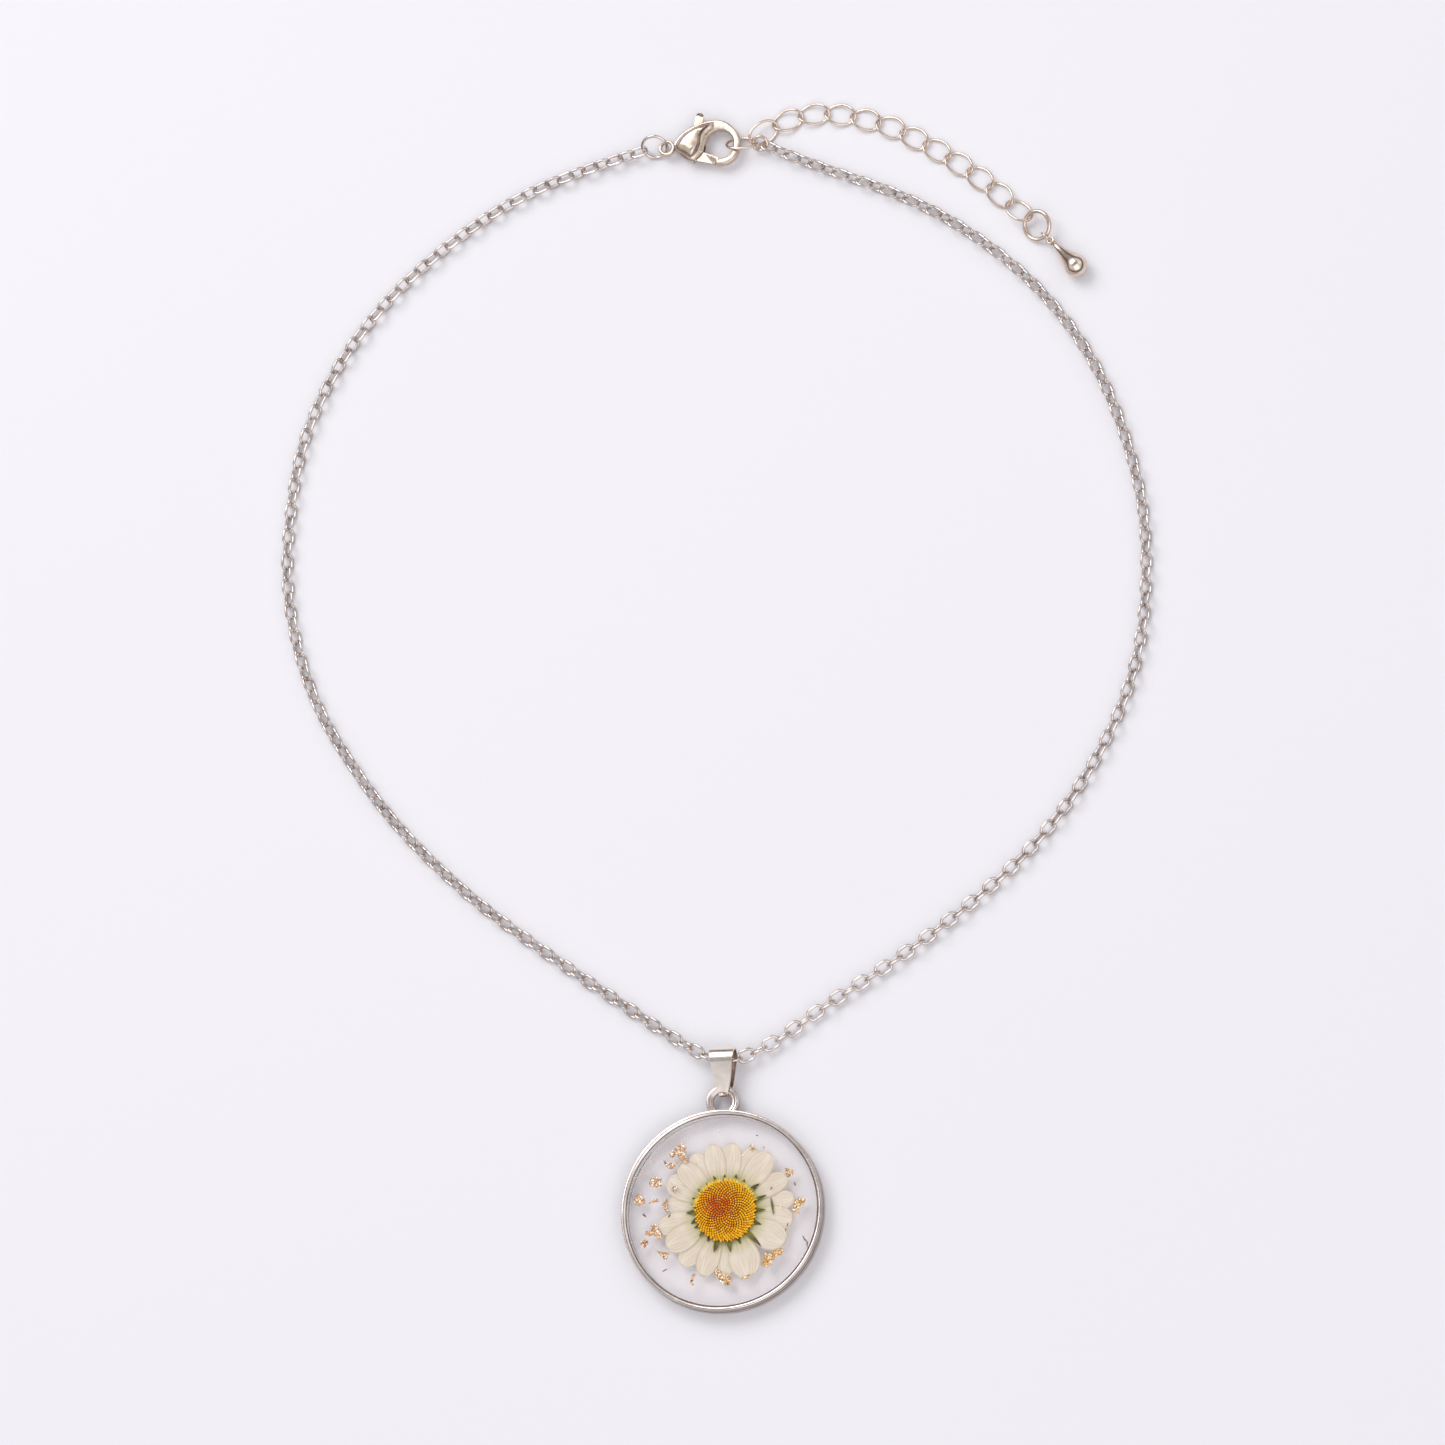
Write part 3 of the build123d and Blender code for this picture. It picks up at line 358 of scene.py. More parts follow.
def linkPlace(points):
    vectors = np.linalg.eigh(np.cov((points - points.mean(axis=0)).T))[1]
    axes = vectors[:, ::-1].copy()
    if np.linalg.det(axes) < 0:
        axes[:, 2] = -axes[:, 2]
    along = points @ axes
    middle = axes @ (0.5 * (along.min(axis=0) + along.max(axis=0)))
    placing = Matrix(np.column_stack((axes, middle)).tolist() + [[0.0, 0.0, 0.0, 1.0]])
    return placing, np.ptp(along, axis=0) / 2


def wireLink(halfSizes):
    # a ring of wire, its two halves drawn apart to an oval
    wire = halfSizes[2]
    bend = halfSizes[1] - wire
    shape = bmesh.new()
    upright = Matrix.Translation((bend, 0, 0)) @ Matrix.Rotation(math.pi / 2, 4, "X")
    ring = bmesh.ops.create_circle(shape, segments=chainLinks["sides"], radius=wire, matrix=upright)
    start = ring["verts"] + shape.edges[:]
    halfStep = Matrix.Rotation(math.pi / chainLinks["steps"], 3, "Z")
    bmesh.ops.rotate(shape, verts=shape.verts, cent=(0, 0, 0), matrix=halfStep)
    bmesh.ops.spin(shape, geom=start, cent=(0, 0, 0), axis=(0, 0, 1), angle=2 * math.pi,
                   steps=chainLinks["steps"], use_merge=True)
    bmesh.ops.remove_doubles(shape, verts=shape.verts, dist=chainLinks["weld"])
    for side in (1, -1):
        half = [vert for vert in shape.verts if vert.co.x * side > 0]
        bmesh.ops.translate(shape, verts=half, vec=(side * (halfSizes[0] - halfSizes[1]), 0, 0))
    bmesh.ops.recalc_face_normals(shape, faces=shape.faces)
    mesh = bpy.data.meshes.new("wireLink")
    shape.to_mesh(mesh)
    shape.free()
    return mesh


links = [linkPlace(points) for points in looseParts(nodes["chain"].data)]
print("chain links found:", len(links))
oneLink = wireLink(np.mean([halfSizes for placing, halfSizes in links], axis=0))


def addLink(batch, number):
    laid = bmesh.new()
    laid.from_mesh(oneLink)
    bmesh.ops.transform(laid, matrix=links[number][0], verts=laid.verts)
    addTo(batch, laid)


chainShape = bmesh.new()
inBatches(chainShape, len(links), chainLinks["perBatch"], addLink)
bpy.data.meshes.remove(oneLink)
finishPiece(chainShape, "cableChain", chainMetal, "chain_metal", ("chain",), "necklace", 80.0)
print("chain laid")


# Clear resin, one dome cast round the flower
resinCast = {
    "steps": 160, "domeRows": 22, "rise": 0.55, "lip": 0.04, "lipWidth": 0.35, "edge": 0.12,
    "backRing": 0.6, "wallRow": 1.2, "ior": 1.26,
}

backBox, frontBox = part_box("resin_back"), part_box("resin_front")
resinR = (frontBox[1][0] - frontBox[0][0]) / 2
resinLow, resinTop = backBox[0][2], frontBox[1][2]
resinRise = resinCast["rise"] * mm


def domeHeight(radius):
    domeR = (resinR**2 + resinRise**2) / (2 * resinRise)
    return resinTop - domeR + math.sqrt(domeR**2 - radius**2)


resinShape = bmesh.new()
profile = [(0.0, resinLow), (resinR * resinCast["backRing"], resinLow),
           (resinR - resinCast["edge"] * mm, resinLow), (resinR, resinLow + resinCast["edge"] * mm),
           (resinR, resinLow + resinCast["wallRow"] * mm)]
for share in (1.0, 0.7, 0.45, 0.2, 0.0):  # the resin creeps up the rim in a small lip
    radius = resinR - resinCast["lipWidth"] * mm * (1 - share)
    profile.append((radius, domeHeight(radius) + resinCast["lip"] * mm * share**2))
for row in range(1, resinCast["domeRows"] + 1):
    radius = (resinR - resinCast["lipWidth"] * mm) * (1 - row / resinCast["domeRows"])
    profile.append((radius, domeHeight(radius)))
profileVerts = [resinShape.verts.new((radius, 0.0, height)) for radius, height in profile]
profileEdges = [resinShape.edges.new(pair) for pair in zip(profileVerts, profileVerts[1:])]
bmesh.ops.spin(resinShape, geom=profileVerts + profileEdges, cent=(0, 0, 0), axis=(0, 0, 1),
               angle=2 * math.pi, steps=resinCast["steps"], use_merge=True)
bmesh.ops.remove_doubles(resinShape, verts=resinShape.verts, dist=weldGap)
bmesh.ops.recalc_face_normals(resinShape, faces=resinShape.faces)


def resinMaterial():
    material, tree, output = newMaterial("resinClear")
    coords = addNode(tree, "ShaderNodeTexCoord")
    ripple = addNode(tree, "ShaderNodeTexNoise", {
        "Vector": coords.outputs["Object"], "Scale": 170.0, "Detail": 1.5, "Roughness": 0.4})
    tint = ramp(tree, ripple.outputs[0], ((0.3, (0.985, 0.975, 0.978)), (0.75, (1.0, 0.992, 0.995))))
    relief = addNode(tree, "ShaderNodeBump", {
        "Strength": 0.05, "Distance": 0.0004, "Height": ripple.outputs[0]})
    castShader = addNode(tree, "ShaderNodeBsdfPrincipled", {
        "Base Color": tint, "Roughness": 0.02, "IOR": resinCast["ior"], "Transmission Weight": 1.0,
        "Normal": relief.outputs[0]})
    letThrough = addNode(tree, "ShaderNodeBsdfTransparent", {"Color": (1.0, 0.992, 0.99, 1.0)})
    path = addNode(tree, "ShaderNodeLightPath")
    # shadow and diffuse rays pass straight on, because too little light reaches the flower otherwise
    straight = calc(tree, "MAXIMUM", path.outputs["Is Shadow Ray"], path.outputs["Is Diffuse Ray"])
    mixed = addNode(tree, "ShaderNodeMixShader", {
        0: straight, 1: castShader.outputs[0], 2: letThrough.outputs[0]})
    tree.links.new(mixed.outputs[0], output.inputs["Surface"])
    return material


finishPiece(resinShape, "resinDome", resinMaterial(), "resin_clear", ("resin_back", "resin_front"),
            "necklace", 50.0)
print("resin cast")


# Pressed petals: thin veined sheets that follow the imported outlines
petalSheets = {
    "count": 18, "across": 12, "along": 26, "thick": 0.035, "vein": 0.014, "veins": 5.0, "wave": 0.10,
    "waveScale": 0.35, "fold": 0.03, "crowding": 1.5, "ends": (0.002, 0.9985), "glow": 0.22,
    "seenThrough": 0.10, "litThrough": 0.55,
}

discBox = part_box("flower_disc")
flowerX, flowerY = (discBox[0][0] + discBox[1][0]) / 2, (discBox[0][1] + discBox[1][1]) / 2
discR = (discBox[1][0] - discBox[0][0]) / 2


def petalMaterial():
    material, tree, output = newMaterial("petalCream")
    sheet = addNode(tree, "ShaderNodeUVMap", uv_map="sheet")
    coords = addNode(tree, "ShaderNodeTexCoord")
    split = addNode(tree, "ShaderNodeSeparateXYZ", {0: sheet.outputs[0]})
    acrossSheet, alongSheet = split.outputs[0], split.outputs[1]
    stretched = addNode(tree, "ShaderNodeMapping", {"Vector": sheet.outputs[0], "Scale": (26.0, 1.6, 1.0)})
    fibres = addNode(tree, "ShaderNodeTexNoise", {
        "Vector": stretched.outputs[0], "Scale": 1.0, "Detail": 4.0, "Roughness": 0.6, "Distortion": 0.3})
    blotch = addNode(tree, "ShaderNodeTexNoise", {
        "Vector": coords.outputs["Object"], "Scale": 380.0, "Detail": 4.0, "Roughness": 0.6})
    base = ramp(tree, fibres.outputs[0], (
        (0.28, (0.66, 0.57, 0.45)), (0.5, (0.86, 0.77, 0.65)), (0.72, (0.95, 0.90, 0.82))))
    patchy = mixColour(tree, remap(tree, blotch.outputs[0], 0.4, 0.75, 0.0, 0.5), base, (0.93, 0.88, 0.79))
    rootMask = remap(tree, alongSheet, 0.15, 0.48, 1.0, 0.0)
    spotted = calc(tree, "MULTIPLY", rootMask, remap(tree, blotch.outputs[0], 0.3, 0.65, 0.25, 1.0))
    rooted = mixColour(tree, spotted, patchy, (0.56, 0.54, 0.17))
    offMiddle = calc(tree, "ABSOLUTE", calc(tree, "SUBTRACT", acrossSheet, 0.5))
    edgeMask = remap(tree, offMiddle, 0.43, 0.5, 0.0, 0.40)
    tipMask = remap(tree, alongSheet, 0.955, 1.0, 0.0, 0.5)
    outlined = mixColour(tree, calc(tree, "MAXIMUM", edgeMask, tipMask), rooted, (0.46, 0.38, 0.27))
    relief = addNode(tree, "ShaderNodeBump", {
        "Strength": 0.35, "Distance": 0.00003, "Height": fibres.outputs[0]})
    shader = addNode(tree, "ShaderNodeBsdfPrincipled", {
        "Base Color": outlined, "Roughness": remap(tree, fibres.outputs[0], 0.2, 0.8, 0.65, 0.45),
        "Specular IOR Level": 0.15,
        "Normal": relief.outputs[0]})
    glow = addNode(tree, "ShaderNodeBsdfTranslucent", {"Color": outlined, "Normal": relief.outputs[0]})
    clear = addNode(tree, "ShaderNodeBsdfTransparent", {"Color": (1.0, 0.985, 0.95, 1.0)})
    thin = addNode(tree, "ShaderNodeMixShader", {
        0: petalSheets["glow"], 1: shader.outputs[0], 2: glow.outputs[0]})
    path = addNode(tree, "ShaderNodeLightPath")  # light falls through a pressed petal more than it shows
    seenThrough = remap(tree, path.outputs["Is Shadow Ray"], 0.0, 1.0,
                        petalSheets["seenThrough"], petalSheets["litThrough"])
    veil = addNode(tree, "ShaderNodeMixShader", {0: seenThrough, 1: thin.outputs[0], 2: clear.outputs[0]})
    tree.links.new(veil.outputs[0], output.inputs["Surface"])
    return material


petalCream = petalMaterial()


def petalSheet(number):
    node = f"petal_{number:02d}"
    outline = topLoops(mergedCopy(node))[0]
    top = max(point.z for point in outline)
    points = np.array([(point.x - flowerX, point.y - flowerY) for point in outline])
    after = np.roll(points, -1, axis=0)
    cross = points[:, 0] * after[:, 1] - after[:, 0] * points[:, 1]
    middle = ((points + after) * cross[:, None]).sum(axis=0) / (3 * cross.sum())
    ahead = middle / np.linalg.norm(middle)
    aside = np.array((-ahead[1], ahead[0]))
    alongs, acrosses = points @ ahead, points @ aside
    nearest, farthest = alongs.min(), alongs.max()

    def span(along):
        hits = []
        for here, there, low, high in zip(alongs, np.roll(alongs, -1), acrosses, np.roll(acrosses, -1)):
            if (here - along) * (there - along) <= 0 and here != there:
                hits.append(low + (high - low) * (along - here) / (there - here))
        return (min(hits), max(hits)) if hits else (0.0, 0.0)

    shape = bmesh.new()
    bmesh.ops.create_grid(shape, x_segments=petalSheets["across"], y_segments=petalSheets["along"], size=1.0)
    sheetMap = {}
    firstShare, lastShare = petalSheets["ends"]
    for vert in shape.verts:
        acrossShare, alongShare = (vert.co.x + 1) / 2, (vert.co.y + 1) / 2
        crowded = 1 - (1 - alongShare) ** petalSheets["crowding"]
        along = nearest + (farthest - nearest) * min(max(crowded, firstShare), lastShare)
        low, high = span(along)
        offset = low + (high - low) * acrossShare
        flat = ahead * along + aside * offset
        wave = noise.noise(Vector((*(flat / mm * petalSheets["waveScale"]), 2.0)))
        fade = math.sin(math.pi * min(alongShare * 1.2, 1))
        vein = math.cos(2 * math.pi * petalSheets["veins"] * acrossShare) * fade
        fold = 0.6 * (1 - abs(2 * acrossShare - 1)) - 0.3
        height = top + mm * (petalSheets["wave"] * wave * 0.5 + petalSheets["vein"] * vein
                             + petalSheets["fold"] * fold)
        vert.co = (flat[0] + flowerX, flat[1] + flowerY, height)
        sheetMap[vert.index] = (acrossShare, (along - nearest) / (farthest - nearest))
    shape.verts.index_update()
    marks = shape.loops.layers.uv.new("sheet")
    for face in shape.faces:
        for corner in face.loops:
            corner[marks].uv = sheetMap[corner.vert.index]
    bmesh.ops.solidify(shape, geom=shape.faces[:], thickness=petalSheets["thick"] * mm)
    bmesh.ops.recalc_face_normals(shape, faces=shape.faces)
    finishPiece(shape, f"petalSheet{number:02d}", petalCream, "petal", (node,), "necklace", 60.0)


for number in range(1, petalSheets["count"] + 1):
    petalSheet(number)
print("petals pressed")


# Flower disc: hundreds of florets set in spirals on a low dome
florets = {
    "count": 500, "size": 0.188, "proud": 0.85, "lean": 0.55, "spiral": 137.508, "perBatch": 26,
    "wall": 0.95, "steps": 72, "edge": 0.30, "rise": 0.62, "power": 2.4, "hollow": 0.10,
    "hollowWidth": 0.22, "sunk": 0.1,
}

discLow = discBox[0][2]
discTop = discBox[1][2]


def discHeight(share):
    hollow = florets["hollow"] * math.exp(-(share / florets["hollowWidth"]) ** 2)
    rise = florets["edge"] + florets["rise"] * (1 - share ** florets["power"])
    return discLow + (discTop - discLow) * (rise - hollow) - florets["sunk"] * mm


discShape = bmesh.new()
rows = [(discR * share * florets["wall"], discHeight(share) - 0.05 * mm)
        for share in (0.0, 0.15, 0.3, 0.45, 0.6, 0.72, 0.82, 0.9, 0.96, 1.0)]
rows += [(discR * florets["wall"], discLow + 0.02 * mm), (discR * 0.6, discLow), (0.0, discLow)]
discVerts = [discShape.verts.new((flowerX + radius, flowerY, height)) for radius, height in rows]
discEdges = [discShape.edges.new(pair) for pair in zip(discVerts, discVerts[1:])]
bmesh.ops.spin(discShape, geom=discVerts + discEdges, cent=(flowerX, flowerY, 0), axis=(0, 0, 1),
               angle=2 * math.pi, steps=florets["steps"], use_merge=True)
bmesh.ops.remove_doubles(discShape, verts=discShape.verts, dist=weldGap)
bmesh.ops.recalc_face_normals(discShape, faces=discShape.faces)
# the tone layer holds tint, distance from the middle and height on the bead; the height sets the painted
# shade
tone = discShape.verts.layers.float_color.new("tone")
# the dome under the beads is at height 0 here, so it takes the full painted shade
for vert in discShape.verts:
    vert[tone] = (0.5, 0.5, 0.0, 1.0)


def addFloret(batch, number):
    colours = batch.verts.layers.float_color
    batchTone = colours.get("tone") or colours.new("tone")
    share = math.sqrt((number + 0.5) / florets["count"])
    angle = number * math.radians(florets["spiral"])
    jitter = noise.noise(Vector((number * 1.7, 0.3, 4.1)))
    radius = discR * (0.965 * share + 0.006 * jitter)
    size = florets["size"] * mm * (0.80 + 0.24 * share + 0.12 * jitter)
    stretch = 1.0 + florets["lean"] * max(0.0, share - 0.45) * (1.0 + 0.9 * math.cos(angle + 0.9))
    spot = Vector((flowerX + radius * math.cos(angle), flowerY + radius * math.sin(angle),
                   min(discHeight(share) + florets["proud"] * size, discTop - size * 1.02)))
    turned = Matrix.Rotation(angle, 4, "Z") @ Matrix.Rotation(0.5 * share, 4, "Y")
    placing = Matrix.Translation(spot) @ turned @ Matrix.Diagonal((stretch, 0.88, 1.0, 1.0))
    made = bmesh.ops.create_uvsphere(batch, u_segments=8, v_segments=5, radius=size, matrix=placing)
    tint = 0.5 + 0.5 * noise.noise(Vector((number * 3.3, 7.7, 0.1)))
    for vert in made["verts"]:
        onBead = min(1.0, max(0.0, 0.5 + 0.5 * (vert.co.z - spot.z) / size))
        vert[batchTone] = (tint, share, onBead, 1.0)


inBatches(discShape, florets["count"], florets["perBatch"], addFloret)


def floretMaterial():
    material, tree, output = newMaterial("floretGold")
    marks = addNode(tree, "ShaderNodeAttribute", attribute_name="tone", attribute_type="GEOMETRY")
    coords = addNode(tree, "ShaderNodeTexCoord")
    split = addNode(tree, "ShaderNodeSeparateColor", {0: marks.outputs["Color"]})
    centred = addNode(tree, "ShaderNodeMapping", {
        "Vector": coords.outputs["Object"], "Location": (-(flowerX - 0.9 * mm), -(flowerY + 0.9 * mm), 0.0)})
    flattened = addNode(tree, "ShaderNodeVectorMath", {0: centred.outputs[0], 1: (1.0, 1.0, 0.0)},
                        operation="MULTIPLY")
    distance = addNode(tree, "ShaderNodeVectorMath", {0: flattened.outputs[0]}, operation="LENGTH")
    spread = calc(tree, "DIVIDE", distance.outputs["Value"], discR)
    speckle = addNode(tree, "ShaderNodeTexNoise", {
        "Vector": coords.outputs["Object"], "Scale": 900.0, "Detail": 3.0, "Roughness": 0.6})
    uneven = calc(tree, "ADD", spread, remap(tree, speckle.outputs[0], 0.3, 0.7, -0.08, 0.08))
    heat = ramp(tree, uneven, (
        (0.06, (0.92, 0.125, 0.002)), (0.28, (0.98, 0.21, 0.003)), (0.48, (1.0, 0.38, 0.004)),
        (0.70, (1.0, 0.50, 0.006)), (1.0, (1.0, 0.54, 0.010))))
    lighter = mixColour(tree, remap(tree, split.outputs[0], 0.5, 0.72, 0.0, 0.6), heat, (1.0, 0.68, 0.03))
    darker = remap(tree, split.outputs[0], 0.45, 0.28, 0.0, 0.6)
    varied = mixColour(tree, darker, lighter, (0.68, 0.16, 0.002))
    # painted shade: the lower side of each bead and the dome beneath are darkened
    depth = remap(tree, split.outputs[2], 0.50, 0.70, 1.0, 0.0)
    shaded = mixColour(tree, calc(tree, "MULTIPLY", depth, 0.97), varied, (0.24, 0.042, 0.001))
    relief = addNode(tree, "ShaderNodeBump", {
        "Strength": 0.3, "Distance": 0.00004, "Height": speckle.outputs[0]})
    shader = addNode(tree, "ShaderNodeBsdfPrincipled", {
        "Base Color": shaded, "Roughness": remap(tree, speckle.outputs[0], 0.3, 0.7, 0.25, 0.42),
        "Specular IOR Level": 0.2,
        "Normal": relief.outputs[0]})
    tree.links.new(shader.outputs[0], output.inputs["Surface"])
    return material


finishPiece(discShape, "floretDisc", floretMaterial(), "florets", ("flower_disc",), "necklace", 70.0)
print("florets set")


# Green bracts round the disc
bractLeaves = {
    "across": 4, "along": 8, "halfWidth": 0.52, "thick": 0.035, "root": 0.80, "reach": 1.05,
    "tipsBeyond": 0.97, "bend": 0.16,
}


def bractTips():
    outer = topLoops(mergedCopy("flower_bracts"))
    best = max(outer, key=lambda loop: max(math.hypot(p.x - flowerX, p.y - flowerY) for p in loop))
    reaches = [math.hypot(p.x - flowerX, p.y - flowerY) for p in best]
    tips = []
    for number, point in enumerate(best):
        reach = reaches[number]
        peak = reach > reaches[number - 1] and reach >= reaches[(number + 1) % len(best)]
        if peak and reach > bractLeaves["tipsBeyond"] * discR:
            tips.append((math.atan2(point.y - flowerY, point.x - flowerX), reach, point.z))
    return tips


def bractMaterial():
    material, tree, output = newMaterial("bractGreen")
    sheet = addNode(tree, "ShaderNodeUVMap", uv_map="sheet")
    coords = addNode(tree, "ShaderNodeTexCoord")
    split = addNode(tree, "ShaderNodeSeparateXYZ", {0: sheet.outputs[0]})
    stretched = addNode(tree, "ShaderNodeMapping", {"Vector": sheet.outputs[0], "Scale": (9.0, 2.0, 1.0)})
    streaks = addNode(tree, "ShaderNodeTexNoise", {
        "Vector": stretched.outputs[0], "Scale": 1.5, "Detail": 3.0})
    patches = addNode(tree, "ShaderNodeTexNoise", {
        "Vector": coords.outputs["Object"], "Scale": 500.0, "Detail": 3.0})
    base = ramp(tree, streaks.outputs[0], (
        (0.3, (0.030, 0.028, 0.006)), (0.55, (0.095, 0.085, 0.018)), (0.8, (0.26, 0.22, 0.05))))
    rooted = mixColour(tree, remap(tree, split.outputs[1], 0.2, 0.6, 0.6, 0.0), base, (0.42, 0.36, 0.05))
    varied = mixColour(tree, remap(tree, patches.outputs[0], 0.45, 0.7, 0.0, 0.5), rooted, (0.22, 0.23, 0.07))
    relief = addNode(tree, "ShaderNodeBump", {
        "Strength": 0.4, "Distance": 0.00003, "Height": streaks.outputs[0]})
    shader = addNode(tree, "ShaderNodeBsdfPrincipled", {
        "Base Color": varied, "Roughness": remap(tree, streaks.outputs[0], 0.3, 0.7, 0.6, 0.4),
        "Specular IOR Level": 0.15,
        "Normal": relief.outputs[0]})
    tree.links.new(shader.outputs[0], output.inputs["Surface"])
    return material


bractShape = bmesh.new()
bractShape.loops.layers.uv.new("sheet")
root = bractLeaves["root"] * discR
for number, (angle, reach, top) in enumerate(bractTips()):
    leaf = bmesh.new()
    bmesh.ops.create_grid(leaf, x_segments=bractLeaves["across"], y_segments=bractLeaves["along"], size=1.0)
    leafMarks = leaf.loops.layers.uv.new("sheet")
    for face in leaf.faces:
        for corner in face.loops:
            corner[leafMarks].uv = ((corner.vert.co.x + 1) / 2, (corner.vert.co.y + 1) / 2)
    bendAside = bractLeaves["bend"] * noise.noise(Vector((number * 2.1, 1.1, 0.2)))
    width = bractLeaves["halfWidth"] * mm * (1.0 + 0.35 * noise.noise(Vector((number * 1.3, 5.1, 0.7))))
    for vert in leaf.verts:
        side, share = vert.co.x, (vert.co.y + 1) / 2
        along = root + (reach * bractLeaves["reach"] - root) * share
        half = width * max(0.015, (1 - share**1.6) * (0.75 + 0.5 * share))
        curl = 0.05 * math.sin(3 * share + number) + 0.04 * abs(side)
        turned = angle + bendAside * share**2
        offset = side * half
        vert.co = (flowerX + along * math.cos(turned) - offset * math.sin(turned),
                   flowerY + along * math.sin(turned) + offset * math.cos(turned),
                   top + curl * mm)
    bmesh.ops.solidify(leaf, geom=leaf.faces[:], thickness=bractLeaves["thick"] * mm)
    bmesh.ops.recalc_face_normals(leaf, faces=leaf.faces)
    addTo(bractShape, leaf)
finishPiece(bractShape, "bractCollar", bractMaterial(), "bract", ("flower_bracts",), "necklace", 60.0)
print("bracts placed")


# Pale yellow hairs at the disc's upper edge
fuzzHairs = {
    "count": 190, "length": 0.75, "root": 0.075, "tip": 0.012, "sides": 5, "from": 20, "sweep": 150,
    "tilt": 86, "perBatch": 30,
}


def fuzzMaterial():
    material, tree, output = newMaterial("fuzzYellow")
    coords = addNode(tree, "ShaderNodeTexCoord")
    patches = addNode(tree, "ShaderNodeTexNoise", {
        "Vector": coords.outputs["Object"], "Scale": 1400.0, "Detail": 3.0})
    base = ramp(tree, patches.outputs[0], (
        (0.3, (0.80, 0.55, 0.05)), (0.6, (0.88, 0.72, 0.18)), (0.8, (0.93, 0.85, 0.45))))
    shader = addNode(tree, "ShaderNodeBsdfPrincipled", {
        "Base Color": base, "Roughness": remap(tree, patches.outputs[0], 0.3, 0.7, 0.7, 0.5),
        "Specular IOR Level": 0.15})
    tree.links.new(shader.outputs[0], output.inputs["Surface"])
    return material


def addHair(batch, number):
    spread = noise.noise(Vector((number * 4.7, 2.3, 9.1)))
    angle = math.radians(fuzzHairs["from"] + fuzzHairs["sweep"] * number / fuzzHairs["count"] + 6 * spread)
    radius = discR * (0.97 + 0.05 * noise.noise(Vector((number * 2.9, 8.3, 1.7))))
    length = fuzzHairs["length"] * mm * (0.7 + 0.6 * abs(spread))
    reach = radius + 0.3 * length
    spot = Vector((flowerX + reach * math.cos(angle), flowerY + reach * math.sin(angle),
                   discLow + (0.30 + 0.10 * spread) * mm))
    turned = Matrix.Rotation(angle + 0.5 * spread, 4, "Z")
    tilted = Matrix.Rotation(math.radians(fuzzHairs["tilt"]), 4, "Y")
    bmesh.ops.create_cone(
        batch, cap_ends=True, segments=fuzzHairs["sides"], radius1=fuzzHairs["root"] * mm,
        radius2=fuzzHairs["tip"] * mm, depth=length, matrix=Matrix.Translation(spot) @ turned @ tilted)


fuzzShape = bmesh.new()
inBatches(fuzzShape, fuzzHairs["count"], fuzzHairs["perBatch"], addHair)
bmesh.ops.recalc_face_normals(fuzzShape, faces=fuzzShape.faces)
finishPiece(fuzzShape, "floretFuzz", fuzzMaterial(), "florets", (), "necklace", 60.0)
print("fuzz set")


# Crumpled metal foil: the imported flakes, divided finely and folded
foilFlakes = {"cell": 0.16, "slack": 1.4, "rounds": 5, "fold": 0.30, "ragged": 0.05, "lift": 0.02}


def foilMaterial():
    material, tree, output = newMaterial("foilRoseGold")
    coords = addNode(tree, "ShaderNodeTexCoord")
    split = addNode(tree, "ShaderNodeSeparateXYZ", {0: coords.outputs["Object"]})
    folds = addNode(tree, "ShaderNodeTexVoronoi", {
        "Vector": coords.outputs["Object"], "Scale": 2300.0}, feature="DISTANCE_TO_EDGE")
    blotch = addNode(tree, "ShaderNodeTexNoise", {
        "Vector": coords.outputs["Object"], "Scale": 1500.0, "Detail": 4.0})
    side = remap(tree, split.outputs[0], -8 * mm, 4 * mm, 0.0, 1.0)
    warm = mixColour(tree, side, (0.88, 0.63, 0.42), (0.92, 0.66, 0.30))
    light = mixColour(tree, remap(tree, blotch.outputs[0], 0.45, 0.57, 0.0, 0.95), warm, (1.0, 0.94, 0.84))
    # painted shade: the foil is darkened along its fold lines
    creaseShade = remap(tree, folds.outputs["Distance"], 0.0, 0.10, 0.9, 0.0)
    creaseShaded = mixColour(tree, creaseShade, light, (0.48, 0.20, 0.06))
    relief = addNode(tree, "ShaderNodeBump", {
        "Strength": 0.7, "Distance": 0.00012, "Height": folds.outputs["Distance"]})
    shader = addNode(tree, "ShaderNodeBsdfPrincipled", {
        "Metallic": 1.0, "Base Color": creaseShaded,
        "Roughness": remap(tree, blotch.outputs[0], 0.3, 0.7, 0.38, 0.2), "Normal": relief.outputs[0]})
    tree.links.new(shader.outputs[0], output.inputs["Surface"])
    return material


foilRoseGold = foilMaterial()
foilShape = mergedCopy("gold_flakes")
cutFinely(foilShape, foilFlakes["rounds"], foilFlakes["cell"] * mm * foilFlakes["slack"])
for vert in foilShape.verts:
    point = Vector((vert.co.x / mm, vert.co.y / mm, 0.0))
    ridges = noise.voronoi(point * 1.9, distance_metric="DISTANCE")[0]
    fold = (ridges[1] - ridges[0]) + 0.55 * noise.noise(point * 2.7) + 0.3 * noise.noise(point * 6.1)
    vert.co.z += mm * (foilFlakes["lift"] + foilFlakes["fold"] * (0.25 + fold))
    vert.co.x += mm * foilFlakes["ragged"] * noise.noise(point * 4.3 + Vector((0, 0, 3.1)))
    vert.co.y += mm * foilFlakes["ragged"] * noise.noise(point * 4.3 + Vector((0, 0, 7.7)))
finishPiece(foilShape, "foilFlakes", foilRoseGold, "gold_foil", ("gold_flakes",), smooth=False)
print("foil crumpled")


# Leaf sliver and the tiny bits that float in the resin
sliverLeaf = {"rounds": 3, "cell": 0.25, "wave": 0.05}

sliverShape = mergedCopy("leaf_sliver")
cutFinely(sliverShape, sliverLeaf["rounds"], sliverLeaf["cell"] * mm)
for vert in sliverShape.verts:
    spot = Vector((vert.co.x / mm * 2, vert.co.y / mm * 1.2, 0.4))
    vert.co.z += sliverLeaf["wave"] * mm * noise.noise(spot)


